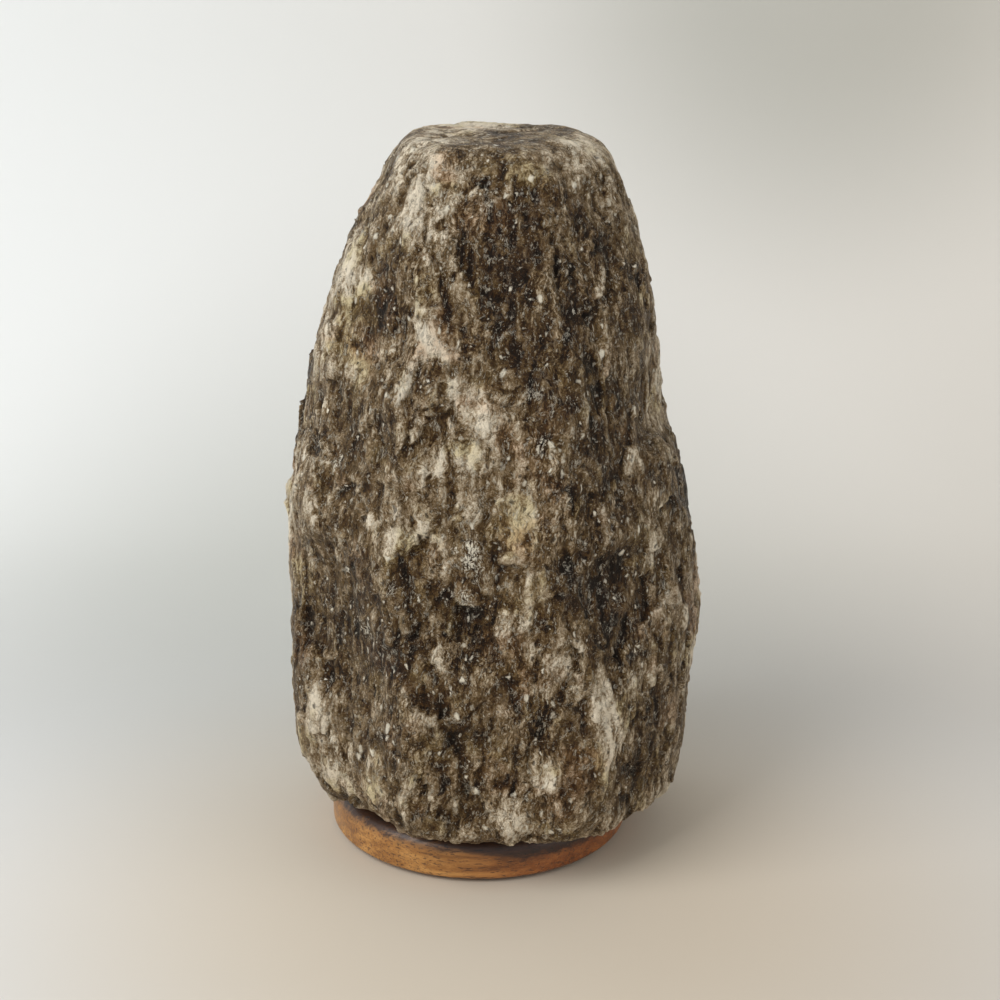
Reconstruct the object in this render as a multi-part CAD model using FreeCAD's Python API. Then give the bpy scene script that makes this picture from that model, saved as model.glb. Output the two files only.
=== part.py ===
"""Salt crystal lamp: a bored rock of grey salt screwed to a turned wooden base, lit from inside.

Millimetres, +Z up.  The origin is on the axis of the base, on the surface that the feet stand on.
+X is the lamp's right, -Y its front, and the cord groove opens at the back, towards +Y.
The lamp comes apart in three stages: the crystal and its base, the light unit that is pushed up
into the base from below, and the bulb that screws into the light unit.
"""

import FreeCAD
import Part
import math
import os

Vector = FreeCAD.Vector
ORIGIN = Vector(0, 0, 0)
UP = Vector(0, 0, 1)

# ---- clearances ---------------------------------------------------------------------------------
running_gap = 0.3  # between pieces that move past each other
fit_gap = 0.1  # round a piece that is seated in a hole
thread_gap = 0.15  # between the bulb's thread and the holder's
contact_gap = 0.05  # between pieces that touch, so that their solids stay apart
over = 1.0  # how far a cutter runs past the face that it cuts

# ---- wooden base --------------------------------------------------------------------------------
base_radius = 55.0
base_thickness = 15.0
base_top_round = 6.0
base_bottom_round = 1.2
light_hole_radius = 21.0  # the light unit goes up through this hole
recess_radius = 29.0  # wider step in the underside, where the cord turns to the back
recess_depth = 8.0
groove_width = 8.0
groove_depth = 7.0

# ---- feet ---------------------------------------------------------------------------------------
foot_count = 4
foot_radius = 7.0
foot_height = 4.0
foot_stand = 1.5  # how far a foot stands out of its pocket
foot_circle = 43.0
foot_edge_round = 0.6

# ---- salt crystal -------------------------------------------------------------------------------
# The rock's outside is one surface that follows rows of points.
crystal_points = 52  # in each row
crystal_degree = 2  # of the rock's surface
crystal_rise = 7.0  # most height between two rows of points
crystal_squareness = 2.3  # 2 is an ellipse
cavity_radius = 24.0
cavity_depth = 102.0
cavity_dome = 12.0  # height of the cavity's rounded end

# One row for each section of the rock, from its seat on the base to its top: height above the seat,
# and how far the section reaches to the left, right, front and back of the base's axis.
crystal_sections = [
    (0.0, 47.0, 57.0, 51.0, 50.0),
    (2.5, 53.5, 69.3, 60.5, 57.0),
    (6.0, 59.0, 71.8, 64.5, 61.0),
    (12.0, 63.5, 72.6, 66.5, 64.0),
    (22.0, 66.5, 75.0, 67.0, 65.5),
    (38.0, 67.8, 78.0, 67.0, 66.0),
    (60.0, 68.0, 78.0, 66.0, 65.0),
    (80.0, 67.8, 77.5, 64.5, 63.5),
    (101.0, 67.8, 75.2, 62.5, 62.0),
    (116.0, 68.0, 72.3, 60.5, 60.0),
    (131.0, 64.0, 69.3, 58.5, 58.0),
    (146.0, 62.0, 65.5, 56.5, 56.0),
    (160.0, 59.0, 62.0, 54.0, 54.0),
    (175.0, 54.5, 60.5, 51.5, 51.5),
    (189.0, 50.5, 58.0, 48.5, 49.0),
    (203.0, 46.0, 54.5, 45.0, 46.0),
    (217.0, 37.6, 49.5, 40.5, 42.0),
    (228.0, 33.0, 45.0, 36.5, 38.0),
    (235.0, 27.5, 41.0, 32.0, 33.0),
    (238.0, 24.5, 36.5, 28.5, 29.0),
    (239.0, 21.0, 32.0, 25.0, 25.0),
]

# Long ridges and hollows down the rock: the angle at the foot and at the top, anticlockwise from
# the right, the half width in degrees, and how far each stands out at the foot and at the top.
crystal_ridges = [
    (28, 38, 22, 2.6, 2.0),
    (64, 70, 20, -1.6, -1.2),
    (92, 98, 18, 1.8, 1.4),
    (116, 118, 18, -2.0, -1.2),
    (144, 136, 22, 3.0, 2.0),
    (206, 214, 18, 1.0, 1.6),
    (227, 226, 26, -7.0, -2.0),
    (251, 240, 18, 2.0, 2.4),
    (276, 266, 18, -1.6, -1.4),
    (300, 296, 20, 2.2, 1.8),
    (323, 320, 18, -1.4, -1.8),
]

# Chips broken out of the rock: angle, height above the seat, half width in degrees, half height,
# and depth.
crystal_chips = [
    (20, 96, 26, 26, 2.4),
    (52, 44, 30, 22, 3.0),
    (60, 164, 30, 24, 3.2),
    (84, 120, 24, 20, 2.6),
    (108, 30, 26, 18, 3.0),
    (112, 196, 32, 22, 3.0),
    (150, 88, 28, 26, 2.8),
    (196, 10, 24, 20, 2.4),
    (200, 152, 24, 20, 2.2),
    (216, 78, 22, 24, 2.6),
    (238, 184, 24, 20, 2.2),
    (242, 5, 20, 14, 3.2),
    (262, 118, 24, 24, 2.4),
    (272, 42, 24, 22, 2.4),
    (290, 206, 26, 22, 2.2),
    (312, 92, 24, 28, 2.6),
    (334, 12, 26, 20, 0.4),
    (336, 160, 22, 22, 2.0),
]

# Flat breaks all round the rock, where pieces of it split away.  They are spread along a spiral.
break_count = 64
break_turn = 137.5  # degrees from each break to the next
break_low = 16.0  # height above the seat of the lowest break
break_high = 222.0
break_depth = 1.3  # below the surface, at the break's middle
break_lean = 0.08  # how far a break leans from the surface, as a slope
break_span = 8.0  # distance over which the surface's slope is taken
break_reach = 34.0  # how far from its middle a break may cut
break_fade = 5.0  # by how much less it cuts there
break_calm = 12.0  # height over which the breaks begin, at the rock's foot and at its top
break_facing = 0.5  # a break cuts only where it faces outwards by at least this share
break_allowance = 0.9  # added to the rock's reach first, because the breaks take as much away

# ---- screws that hold the crystal to the base ---------------------------------------------------
base_screw_angles = [0, 180, 270]  # clear of the groove at 90 degrees
base_screw_circle = 37.0
base_screw_length = 30.0
base_screw_radius = 2.0
base_screw_core = 1.4
base_screw_pitch = 1.8
base_screw_point = 3.0
base_screw_shank = 1.0  # plain length above the wood, before the thread starts
base_screw_head_radius = 4.0
base_screw_head_height = 2.8
base_screw_head_round = 1.0
base_screw_slot = 1.0
counterbore_radius = 4.6
counterbore_depth = 4.0
screw_plug_radius = 3.5
screw_plug_length = 22.0
screw_plug_slit = 0.6
screw_plug_collar = 7.0  # unslit length at the plug's foot

# ---- retaining plate and spring collar ----------------------------------------------------------
plate_radius = 27.0
plate_thickness = 1.0
collar_radius = 12.0
collar_thickness = 0.5
collar_arm_count = 3
collar_arm_width = 8.0
collar_arm_root = 2.0  # how far an arm laps over the ring
collar_arm_heel = 2.6  # from the fold at the arm's foot out to its grip
collar_arm_grip = 5.3  # height of the bend that presses on the wood
collar_arm_bend = 1.1  # half height of that bend
collar_arm_rise = 15.5  # from the ring to the tips of the arms
collar_arm_lean = 3.2  # how far the tips lean in from the grip

# ---- threaded nipple, nut and lock washer -------------------------------------------------------
nipple_radius = 5.0
nipple_bore = 3.7
nipple_tail = 1.5  # how far the nipple stands out below its nut
nut_flats = 14.0
nut_thickness = 3.0
washer_radius = 8.0
washer_thickness = 0.8
washer_notch = 0.8
washer_notch_count = 12

# ---- lamp holder --------------------------------------------------------------------------------
holder_radius = 13.5
holder_neck_radius = 7.5
cap_neck_height = 3.0
cap_entry_depth = 5.5
cap_dome_height = 6.5
cap_rim_height = 5.0
cap_wall = 1.4
cap_funnel = 1.5  # how far the cap's inside narrows towards the nipple
spigot_wall = 1.1
block_wall = 1.3
block_seat = 0.5  # from the cap's rim up to the contact block's disc
block_thickness = 6.0
block_collar_height = 2.5
shell_flange_thickness = 0.5
shell_mouth = 0.5  # how far the screw shell ends below the skirt's mouth
skirt_step = 1.5  # how much narrower the skirt is above its waist
skirt_step_height = 2.0
skirt_mouth_round = 1.0
skirt_mouth_gap = 1.2  # from the skirt's mouth up to the flare of the bulb's cap
lock_screw_radius = 1.1
lock_screw_length = 3.1
lock_screw_slot = 0.6

# ---- contacts and terminals ---------------------------------------------------------------------
strip_thickness = 0.4
strip_width = 4.0
strip_end = 2.5  # from the rivet to the strip's end
tongue_rise = 0.95  # height of the centre contact's tongue above its foot
tongue_flat = 0.8  # half length of the tongue's flat top
tongue_tip = 2.6
rivet_radius = 1.1
rivet_head_radius = 1.8
rivet_head_height = 0.5
terminal_place = 0.55  # where a terminal stands, as a share of the block's inner radius
terminal_width = 4.4
terminal_depth = 6.0
terminal_height = 5.0
terminal_wire_radius = 1.1
terminal_wire_depth = 3.0
terminal_screw_radius = 1.2
terminal_screw_head = 1.8
terminal_screw_head_height = 1.4
terminal_screw_slot = 0.5
terminal_screw_slot_depth = 0.6

# ---- screw thread of the bulb and the holder, 14 mm with 9 turns to the inch --------------------
thread_pitch = 2.82
thread_mean_radius = 6.55
thread_wave = 0.4
thread_turns = 4.0
thread_fade = 1.5  # height over which the thread dies away at each end
thread_steps = 8  # sections in each turn
sheet = 0.3  # wall of the bulb's cap and of the holder's shell

# ---- bulb ---------------------------------------------------------------------------------------
bulb_length = 58.0
bulb_radius = 12.5
bulb_neck_radius = 7.8
bulb_neck_height = 4.0
bulb_shoulder_height = 13.0  # from the neck up to the widest part
bulb_shoulder_bulge = 0.24  # how far the shoulder bows out, as a share of its width
bulb_wall = 0.7
tip_radius = 2.5
tip_height = 1.2
tip_flat = 1.25
insulator_height = 3.4
insulator_plug = 1.5  # how far the insulator stands inside the screw cap
insulator_lip = 0.4
cap_flare_radius = 8.6
cap_flare_height = 5.0
cap_flare_slope = 2.25
cap_lap = 2.0  # how far the flare laps over the glass
stem_radius = 2.2
stem_height = 14.0
stem_inset = 0.5
stem_foot = 0.8
stem_flare = 4.2
wire_radius = 0.3
lead_wire_rise = 5.0
lead_wire_straight = 1.5
filament_radius = 0.2
filament_spread = 6.0
filament_rise = 8.0
filament_spans = 6

# ---- heights and radii worked out from the sizes above ------------------------------------------
base_floor = foot_stand
base_top = base_floor + base_thickness
screw_seat = base_floor + counterbore_depth
plate_top = base_floor + recess_depth
plate_floor = plate_top - plate_thickness
collar_top = plate_top + collar_thickness
washer_floor = plate_floor - washer_thickness
nut_floor = washer_floor - nut_thickness
nipple_floor = nut_floor - nipple_tail
nipple_top = collar_top + cap_entry_depth
cap_neck_top = collar_top + cap_neck_height
cap_shoulder = cap_neck_top + cap_dome_height
cap_rim = cap_shoulder + cap_rim_height
spigot_radius = holder_radius - cap_wall - fit_gap
block_radius = spigot_radius - spigot_wall - fit_gap
block_inner = block_radius - block_wall
terminal_offset = block_inner * terminal_place
block_floor = cap_rim + block_seat
block_top = block_floor + block_thickness
strip_middle = block_top + strip_thickness / 2
shell_floor = block_top + block_collar_height
shell_flange_top = shell_floor + shell_flange_thickness
shell_inside = thread_mean_radius + thread_gap
shell_outside = shell_inside + sheet + thread_wave
tip_floor = block_top + strip_thickness + tongue_rise
insulator_floor = tip_floor + tip_height
cap_floor = insulator_floor + insulator_height
cap_thread_top = cap_floor + thread_turns * thread_pitch + 2 * thread_fade
skirt_top = cap_thread_top - skirt_mouth_gap
glass_floor = cap_thread_top + cap_flare_height - cap_lap
bulb_top = tip_floor + bulb_length
stem_floor = glass_floor + stem_inset
stem_top = stem_floor + stem_height


# ---- small tools for turned, drilled and folded pieces ------------------------------------------
def rod(radius, low, high, x=0.0, y=0.0):
    """Upright cylinder between two heights."""
    return Part.makeCylinder(radius, high - low, Vector(x, y, low), UP)


def tube(outer, inner, low, high):
    """Upright tube between two heights."""
    return rod(outer, low, high).cut(rod(inner, low - over, high + over))


def block(low, high):
    """Box between two corners."""
    size = [b - a for a, b in zip(low, high)]
    return Part.makeBox(*size, Vector(*low))


def outline_edges(outline):
    """Edges of a closed outline.  Each corner is (r, z); one reached by an arc is (r, z, rm, zm),
    where the arc passes through (rm, zm)."""
    corners = [Vector(corner[0], 0, corner[1]) for corner in outline]
    edges = []
    for index, corner in enumerate(outline):
        start = corners[index - 1]
        end = corners[index]
        if len(corner) == 4:
            middle = Vector(corner[2], 0, corner[3])
            edges.append(Part.Arc(start, middle, end).toShape())
        else:
            edges.append(Part.LineSegment(start, end).toShape())
    return edges


def turned(outline):
    """Solid turned on the lamp's axis from a closed outline of radius and height."""
    face = Part.Face(Part.Wire(outline_edges(outline)))
    return face.revolve(ORIGIN, UP, 360)


def turn(shape, degrees):
    """Copy of a shape turned about the lamp's axis."""
    copy = shape.copy()
    copy.rotate(ORIGIN, UP, degrees)
    return copy


def round_the_axis(shape, angles):
    """Copies of a shape at several angles round the axis, as one compound."""
    return Part.makeCompound([turn(shape, angle) for angle in angles])


def quarter_point(centre_r, centre_z, radius, degrees):
    """Point of a round in an outline, at an angle from its centre."""
    angle = math.radians(degrees)
    return (centre_r + radius * math.cos(angle), centre_z + radius * math.sin(angle))


def folded_strip(path, thickness, width):
    """Strip of sheet metal that follows a path of (x, z) points, of even thickness, centred on
    the plane y = 0.  The corners of the path are mitred."""
    left = []
    right = []
    for index, (x, z) in enumerate(path):
        before = path[max(index - 1, 0)]
        after = path[min(index + 1, len(path) - 1)]
        into = Vector(x - before[0], 0, z - before[1])
        out = Vector(after[0] - x, 0, after[1] - z)
        if index == 0:
            into = out
        if index == len(path) - 1:
            out = into
        into.normalize()
        out.normalize()
        across = Vector(-into.z - out.z, 0, into.x + out.x)
        across.normalize()
        reach = thickness / 2 / across.dot(Vector(-into.z, 0, into.x))
        left.append(Vector(x, -width / 2, z) + across * reach)
        right.append(Vector(x, -width / 2, z) - across * reach)
    corners = left + right[::-1]
    face = Part.Face(Part.makePolygon(corners + corners[:1]))
    return face.extrude(Vector(0, width, 0))


def wire_rod(points, radius):
    """Thin round wire along straight runs, with a ball at each bend."""
    pieces = []
    for start, end in zip(points, points[1:]):
        run = end - start
        pieces.append(Part.makeCylinder(radius, run.Length, start, run))
    for bend in points[1:-1]:
        pieces.append(Part.makeSphere(radius, bend))
    return pieces[0].fuse(pieces[1:]) if len(pieces) > 1 else pieces[0]


# ---- salt crystal and base ----------------------------------------------------------------------
def swell(distance, reach):
    """Smooth bump: one in the middle, nothing from the reach outwards."""
    if distance >= reach:
        return 0.0
    return math.cos(math.pi / 2 * distance / reach) ** 2


def degrees_apart(one, other):
    """Angle between two directions round the axis."""
    return abs((one - other + 180) % 360 - 180)


def crystal_relief(angle, height):
    """How far ridges, hollows and chips move the rock's surface at an angle and a height."""
    rise = height / crystal_sections[-1][0]
    total = 0.0
    for foot_angle, top_angle, half_width, foot_relief, top_relief in crystal_ridges:
        middle = foot_angle + (top_angle - foot_angle) * rise
        relief = foot_relief + (top_relief - foot_relief) * rise
        total += relief * swell(degrees_apart(angle, middle), half_width)
    for middle, chip_height, half_width, half_height, depth in crystal_chips:
        across = swell(degrees_apart(angle, middle), half_width)
        total -= depth * across * swell(abs(height - chip_height), half_height)
    return total


def row_at(height):
    """Row of the sections at any height, from the rows below and above it."""
    above = next(index for index, row in enumerate(crystal_sections) if row[0] >= height)
    low = crystal_sections[max(above - 1, 0)]
    high = crystal_sections[max(above, 1)]
    share = (height - low[0]) / (high[0] - low[0])
    return [a + (b - a) * share for a, b in zip(low, high)]


def whole_radius(angle, height):
    """How far the rock reaches from the axis at an angle and a height, before its flat breaks."""
    left, right, front, back = row_at(height)[1:]
    across = math.cos(math.radians(angle))
    along = math.sin(math.radians(angle))
    width = right if across > 0 else left
    depth = back if along > 0 else front
    power = crystal_squareness
    plain = ((abs(across) / width) ** power + (abs(along) / depth) ** power) ** (-1 / power)
    return plain + crystal_relief(angle, height)


def direction(angle):
    """Level unit vector at an angle from the lamp's right."""
    return Vector(math.cos(math.radians(angle)), math.sin(math.radians(angle)), 0)


def rock_point(radius, angle, height):
    """Point at a radius and an angle, above the rock's seat."""
    return direction(angle) * radius + UP * (base_top + height)


def flat_breaks():
    """The middle and the outward direction of each flat break."""
    breaks = []
    for index in range(break_count):
        angle = index * break_turn
        height = break_low + (break_high - break_low) * (index + 0.5) / break_count
        radius = whole_radius(angle, height)
        turn_by = math.degrees(break_span / radius)
        around = rock_point(whole_radius(angle + turn_by, height), angle + turn_by, height)
        around -= rock_point(whole_radius(angle - turn_by, height), angle - turn_by, height)
        upwards = rock_point(whole_radius(angle, height + break_span), angle, height + break_span)
        upwards -= rock_point(whole_radius(angle, height - break_span), angle, height - break_span)
        around.normalize()
        upwards.normalize()
        outwards = around.cross(upwards)
        outwards += around * break_lean * math.sin(index * 2.4)
        outwards += upwards * break_lean * math.cos(index * 1.7)
        outwards.normalize()
        middle = rock_point(radius + break_allowance, angle, height) - outwards * break_depth
        breaks.append((middle, outwards))
    return breaks


def crystal_row(height, breaks):
    """Points round the rock at one height, cut back to the flat breaks."""
    points = []
    for index in range(crystal_points):
        angle = 360.0 * index / crystal_points
        radius = whole_radius(angle, height) + break_allowance
        whole = rock_point(radius, angle, height)
        cut = 0.0
        for middle, outwards in breaks:
            away = whole - middle
            facing = direction(angle).dot(outwards)
            if away.Length < break_reach and facing > break_facing:
                fade = break_fade * (away.Length / break_reach) ** 8
                cut = max(cut, away.dot(outwards) / facing - fade)
        cut *= min(1.0, height / break_calm, (crystal_sections[-1][0] - height) / break_calm)
        points.append(rock_point(radius - cut, angle, height))
    return points


def row_heights():
    """Heights of the surface's rows: those of the sections, and more where these are far apart."""
    heights = [crystal_sections[0][0]]
    for row in crystal_sections[1:]:
        low = heights[-1]
        parts = math.ceil((row[0] - low) / crystal_rise)
        for part in range(1, parts + 1):
            heights.append(low + (row[0] - low) * part / parts)
    return heights


def whole_rock():
    """The undrilled rock: one smooth surface that follows its rows of points, closed at both
    ends."""
    breaks = flat_breaks()
    rows = [crystal_row(height, breaks) for height in row_heights()]
    row_count = len(rows)
    inner_knots = row_count - crystal_degree - 1
    end = [crystal_degree + 1]
    surface = Part.BSplineSurface()
    surface.buildFromPolesMultsKnots(
        [[row[index] for row in rows] for index in range(crystal_points)],
        [1] * (crystal_points + 1),
        end + [1] * inner_knots + end,
        list(range(crystal_points + 1)),
        list(range(inner_knots + 2)),
        True,
        False,
        crystal_degree,
        crystal_degree,
    )
    side = surface.toShape()
    rims = [edge for edge in side.Edges if edge.BoundBox.ZLength < 0.001]
    ends = [Part.Face(Part.Wire(edge)) for edge in rims]
    shell = Part.makeShell([side] + ends)
    shell.sewShape()
    rock = Part.makeSolid(shell)
    if rock.Volume < 0:
        rock.reverse()
    return rock


def salt_crystal():
    """The rock, with the drilled cavity for the light and three holes for the screw plugs."""
    rock = whole_rock()
    cavity_top = base_top + cavity_depth
    dome_radius = (cavity_radius**2 + cavity_dome**2) / 2 / cavity_dome
    dome_middle = Vector(0, 0, cavity_top - dome_radius)
    ball = Part.makeSphere(dome_radius, dome_middle)
    cavity = rod(cavity_radius, base_top - over, cavity_top).common(
        ball.fuse(rod(cavity_radius, base_top - over, cavity_top - cavity_dome))
    )
    plug_hole = rod(
        screw_plug_radius + fit_gap,
        base_top - over,
        base_top + screw_plug_length + running_gap,
        base_screw_circle,
    )
    return rock.cut(cavity).cut(round_the_axis(plug_hole, base_screw_angles))


def foot_angles():
    """Feet stand between the screws and the groove."""
    first = 180.0 / foot_count
    return [first + 360.0 * index / foot_count for index in range(foot_count)]


def wooden_base():
    """Turned disc with a stepped hole, a cord groove to the back, pockets and screw holes."""
    top_centre = (base_radius - base_top_round, base_top - base_top_round)
    low_centre = (base_radius - base_bottom_round, base_floor + base_bottom_round)
    top_middle = quarter_point(*top_centre, base_top_round, 45)
    low_middle = quarter_point(*low_centre, base_bottom_round, -45)
    disc = turned(
        [
            (light_hole_radius, base_top),
            (light_hole_radius, base_floor + recess_depth),
            (recess_radius, base_floor + recess_depth),
            (recess_radius, base_floor),
            (low_centre[0], base_floor),
            (base_radius, low_centre[1], *low_middle),
            (base_radius, top_centre[1]),
            (top_centre[0], base_top, *top_middle),
        ]
    )
    half_groove = groove_width / 2
    groove_spring = base_floor + groove_depth - half_groove
    inside = recess_radius - half_groove
    outside = base_radius + over
    groove = block((-half_groove, inside, base_floor - over), (half_groove, outside, groove_spring))
    vault = Part.makeCylinder(
        half_groove, outside - inside, Vector(0, inside, groove_spring), Vector(0, 1, 0)
    )
    pocket = rod(
        foot_radius + fit_gap, base_floor - over, foot_height + contact_gap, foot_circle
    )
    counterbore = rod(counterbore_radius, base_floor - over, screw_seat, base_screw_circle)
    screw_hole = counterbore.fuse(
        rod(base_screw_radius + fit_gap, screw_seat - over, base_top + over, base_screw_circle)
    )
    disc = disc.cut(groove.fuse(vault))
    disc = disc.cut(round_the_axis(pocket, foot_angles()))
    return disc.cut(round_the_axis(screw_hole, base_screw_angles))


def foot():
    """Rubber foot, rounded at the edge that it stands on."""
    body = Part.makeCylinder(foot_radius, foot_height)
    lower_edge = [edge for edge in body.Edges if abs(edge.BoundBox.ZMax) < 1e-6]
    body = body.makeFillet(foot_edge_round, lower_edge)
    body.translate(Vector(foot_circle, 0, 0))
    return body


def base_screw():
    """Wood screw with a pan head, a thread of rings and a pointed tip."""
    head_floor = screw_seat - base_screw_head_height
    head_edge = head_floor + base_screw_head_round
    head_middle = quarter_point(
        base_screw_head_radius - base_screw_head_round, head_edge, base_screw_head_round, -45
    )
    tip = screw_seat + base_screw_length
    point_base = tip - base_screw_point
    outline = [
        (0, head_floor),
        (base_screw_head_radius - base_screw_head_round, head_floor),
        (base_screw_head_radius, head_edge, *head_middle),
        (base_screw_head_radius, screw_seat),
        (base_screw_core, screw_seat),
    ]
    ring_foot = base_top + base_screw_shank
    while ring_foot + base_screw_pitch < point_base:
        outline.append((base_screw_core, ring_foot))
        outline.append((base_screw_radius, ring_foot + base_screw_pitch / 3))
        outline.append((base_screw_core, ring_foot + base_screw_pitch * 2 / 3))
        ring_foot += base_screw_pitch
    outline.append((base_screw_core, point_base))
    outline.append((0, tip))
    half_slot = base_screw_slot / 2
    slot = block(
        (-base_screw_head_radius, -half_slot, head_floor - over),
        (base_screw_head_radius, half_slot, head_edge),
    )
    screw = turned(outline).cut(slot).cut(turn(slot, 90))
    screw.translate(Vector(base_screw_circle, 0, 0))
    return screw


def screw_plug():
    """Nylon plug that grips the screw inside the salt, whole at its foot and slit above."""
    high = base_top + screw_plug_length
    plug = tube(screw_plug_radius, base_screw_radius + fit_gap, base_top, high)
    half_slit = screw_plug_slit / 2
    slit = block(
        (-screw_plug_radius - over, -half_slit, base_top + screw_plug_collar),
        (screw_plug_radius + over, half_slit, high + over),
    )
    plug = plug.cut(slit)
    plug.translate(Vector(base_screw_circle, 0, 0))
    return plug


# ---- light unit ---------------------------------------------------------------------------------
def retaining_plate():
    """Steel disc that stops the light unit against the step in the base."""
    return tube(plate_radius, nipple_radius + fit_gap, plate_floor, plate_top)


def spring_collar():
    """One stamped piece of spring steel: a ring and bent arms that press on the wood."""
    ring = tube(collar_radius, nipple_radius + fit_gap, plate_top, collar_top)
    half = collar_thickness / 2
    reach = light_hole_radius - running_gap
    grip = math.sqrt(reach**2 - (collar_arm_width / 2) ** 2) - half
    middle = plate_top + half
    bend = middle + collar_arm_grip
    path = [
        (collar_radius - collar_arm_root, middle),
        (grip - collar_arm_heel, middle),
        (grip, bend - collar_arm_bend),
        (grip, bend + collar_arm_bend),
        (grip - collar_arm_lean, middle + collar_arm_rise),
    ]
    arm = folded_strip(path, collar_thickness, collar_arm_width)
    angles = [90 + 360.0 * index / collar_arm_count for index in range(collar_arm_count)]
    return ring.fuse([turn(arm, angle) for angle in angles]).removeSplitter()


def threaded_nipple():
    """Hollow nipple that the cord enters by; it clamps plate and collar to the holder."""
    return tube(nipple_radius, nipple_bore, nipple_floor, nipple_top)


def nipple_nut():
    """Hexagonal nut under the plate."""
    corner_radius = nut_flats / 2 / math.cos(math.radians(30))
    corners = []
    for degrees in range(0, 361, 60):
        angle = math.radians(degrees)
        x = corner_radius * math.cos(angle)
        y = corner_radius * math.sin(angle)
        corners.append(Vector(x, y, nut_floor))
    prism = Part.Face(Part.makePolygon(corners)).extrude(Vector(0, 0, nut_thickness))
    return prism.cut(rod(nipple_radius + fit_gap, nut_floor - over, washer_floor + over))


def lock_washer():
    """Toothed washer between the nut and the plate."""
    washer = tube(washer_radius, nipple_radius + fit_gap, washer_floor, plate_floor)
    notch = rod(washer_notch, washer_floor - over, plate_floor + over, washer_radius)
    angles = [360.0 * index / washer_notch_count for index in range(washer_notch_count)]
    return washer.cut(round_the_axis(notch, angles))


def holder_cap():
    """Domed lower half of the lamp holder, with the nipple's entry and the terminal space."""
    dome_width = holder_radius - holder_neck_radius
    share = math.sqrt(0.5)  # the dome's middle lies on an eighth of a turn
    dome_middle = (
        holder_neck_radius + dome_width * share,
        cap_shoulder - cap_dome_height * share,
    )
    rim_inner = spigot_radius + fit_gap
    cap = turned(
        [
            (nipple_radius + fit_gap, collar_top),
            (holder_neck_radius, collar_top),
            (holder_neck_radius, cap_neck_top),
            (holder_radius, cap_shoulder, *dome_middle),
            (holder_radius, cap_rim),
            (rim_inner, cap_rim),
            (rim_inner, cap_shoulder),
            (block_inner, cap_shoulder),
            (block_inner - cap_funnel, nipple_top),
            (nipple_radius + fit_gap, nipple_top),
        ]
    )
    hole_start = Vector(nipple_radius, 0, collar_top + cap_neck_height / 2)
    screw_hole = Part.makeCylinder(
        lock_screw_radius + fit_gap, holder_radius, hole_start, Vector(1, 0, 0)
    )
    return cap.cut(screw_hole)


def cap_lock_screw():
    """Set screw that stops the cap from turning on the nipple, with its slot to the right."""
    height = collar_top + cap_neck_height / 2
    start = nipple_radius + contact_gap
    end = start + lock_screw_length
    screw = Part.makeCylinder(
        lock_screw_radius, lock_screw_length, Vector(start, 0, height), Vector(1, 0, 0)
    )
    half_slot = lock_screw_slot / 2
    slot = block(
        (end - lock_screw_slot, -half_slot, height - holder_radius),
        (end + over, half_slot, height + holder_radius),
    )
    return screw.cut(slot)


def holder_skirt():
    """Upper half of the lamp holder: a spigot in the cap, and a throat round the screw shell."""
    bore = block_radius + fit_gap
    throat = shell_outside + thread_wave + running_gap
    upper_radius = holder_radius - skirt_step
    mouth_middle = quarter_point(
        upper_radius - skirt_mouth_round, skirt_top - skirt_mouth_round, skirt_mouth_round, 45
    )
    return turned(
        [
            (bore, cap_shoulder),
            (spigot_radius, cap_shoulder),
            (spigot_radius, cap_rim),
            (holder_radius, cap_rim),
            (holder_radius, shell_flange_top + skirt_step_height / 2),
            (upper_radius, shell_flange_top + skirt_step_height * 3 / 2),
            (upper_radius, skirt_top - skirt_mouth_round),
            (upper_radius - skirt_mouth_round, skirt_top, *mouth_middle),
            (throat, skirt_top),
            (throat, shell_flange_top),
            (bore, shell_flange_top),
        ]
    )


def rivet_hole(side):
    """Cutter for the hole that a contact rivet goes through, left or right."""
    return rod(
        rivet_radius + contact_gap,
        block_floor - over,
        block_top + strip_thickness + over,
        side * terminal_offset,
    )


def contact_block():
    """Moulded insulating block inside the holder, with a rim above and below its disc."""
    body = turned(
        [
            (0, block_floor),
            (block_inner, block_floor),
            (block_inner, cap_shoulder),
            (block_radius, cap_shoulder),
            (block_radius, shell_floor),
            (block_inner, shell_floor),
            (block_inner, block_top),
            (0, block_top),
        ]
    )
    return body.cut([rivet_hole(-1), rivet_hole(1)])


def thread_solid(radius, direction, low, high):
    """Round bar whose side waves as a screw thread: circles whose centres wind round the axis.
    The wave dies away at both ends, inwards for direction -1 and outwards for direction 1."""
    count = int(round((high - low) / thread_pitch * thread_steps))
    sections = []
    for index in range(count + 1):
        height = low + (high - low) * index / count
        grown = min(1.0, (height - low) / thread_fade, (high - height) / thread_fade)
        grown = grown * grown * (3 - 2 * grown)
        angle = 2 * math.pi * height / thread_pitch
        wave = thread_wave * grown
        centre = Vector(wave * math.cos(angle), wave * math.sin(angle), height)
        circle = Part.Circle(centre, UP, radius + direction * (thread_wave - wave))
        sections.append(Part.Wire(circle.toShape()))
    return Part.makeLoft(sections, True)


def screw_shell():
    """Brass shell of the holder, rolled to the bulb's thread, with a flange at its foot."""
    high = skirt_top - shell_mouth
    outer = thread_solid(shell_inside + sheet, 1, shell_floor, high)
    inner = thread_solid(shell_inside, 1, shell_floor, high)
    flange = tube(
        block_radius - fit_gap,
        shell_inside + thread_wave + sheet / 2,
        shell_floor,
        shell_flange_top,
    )
    return outer.cut(inner).fuse(flange)


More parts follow.
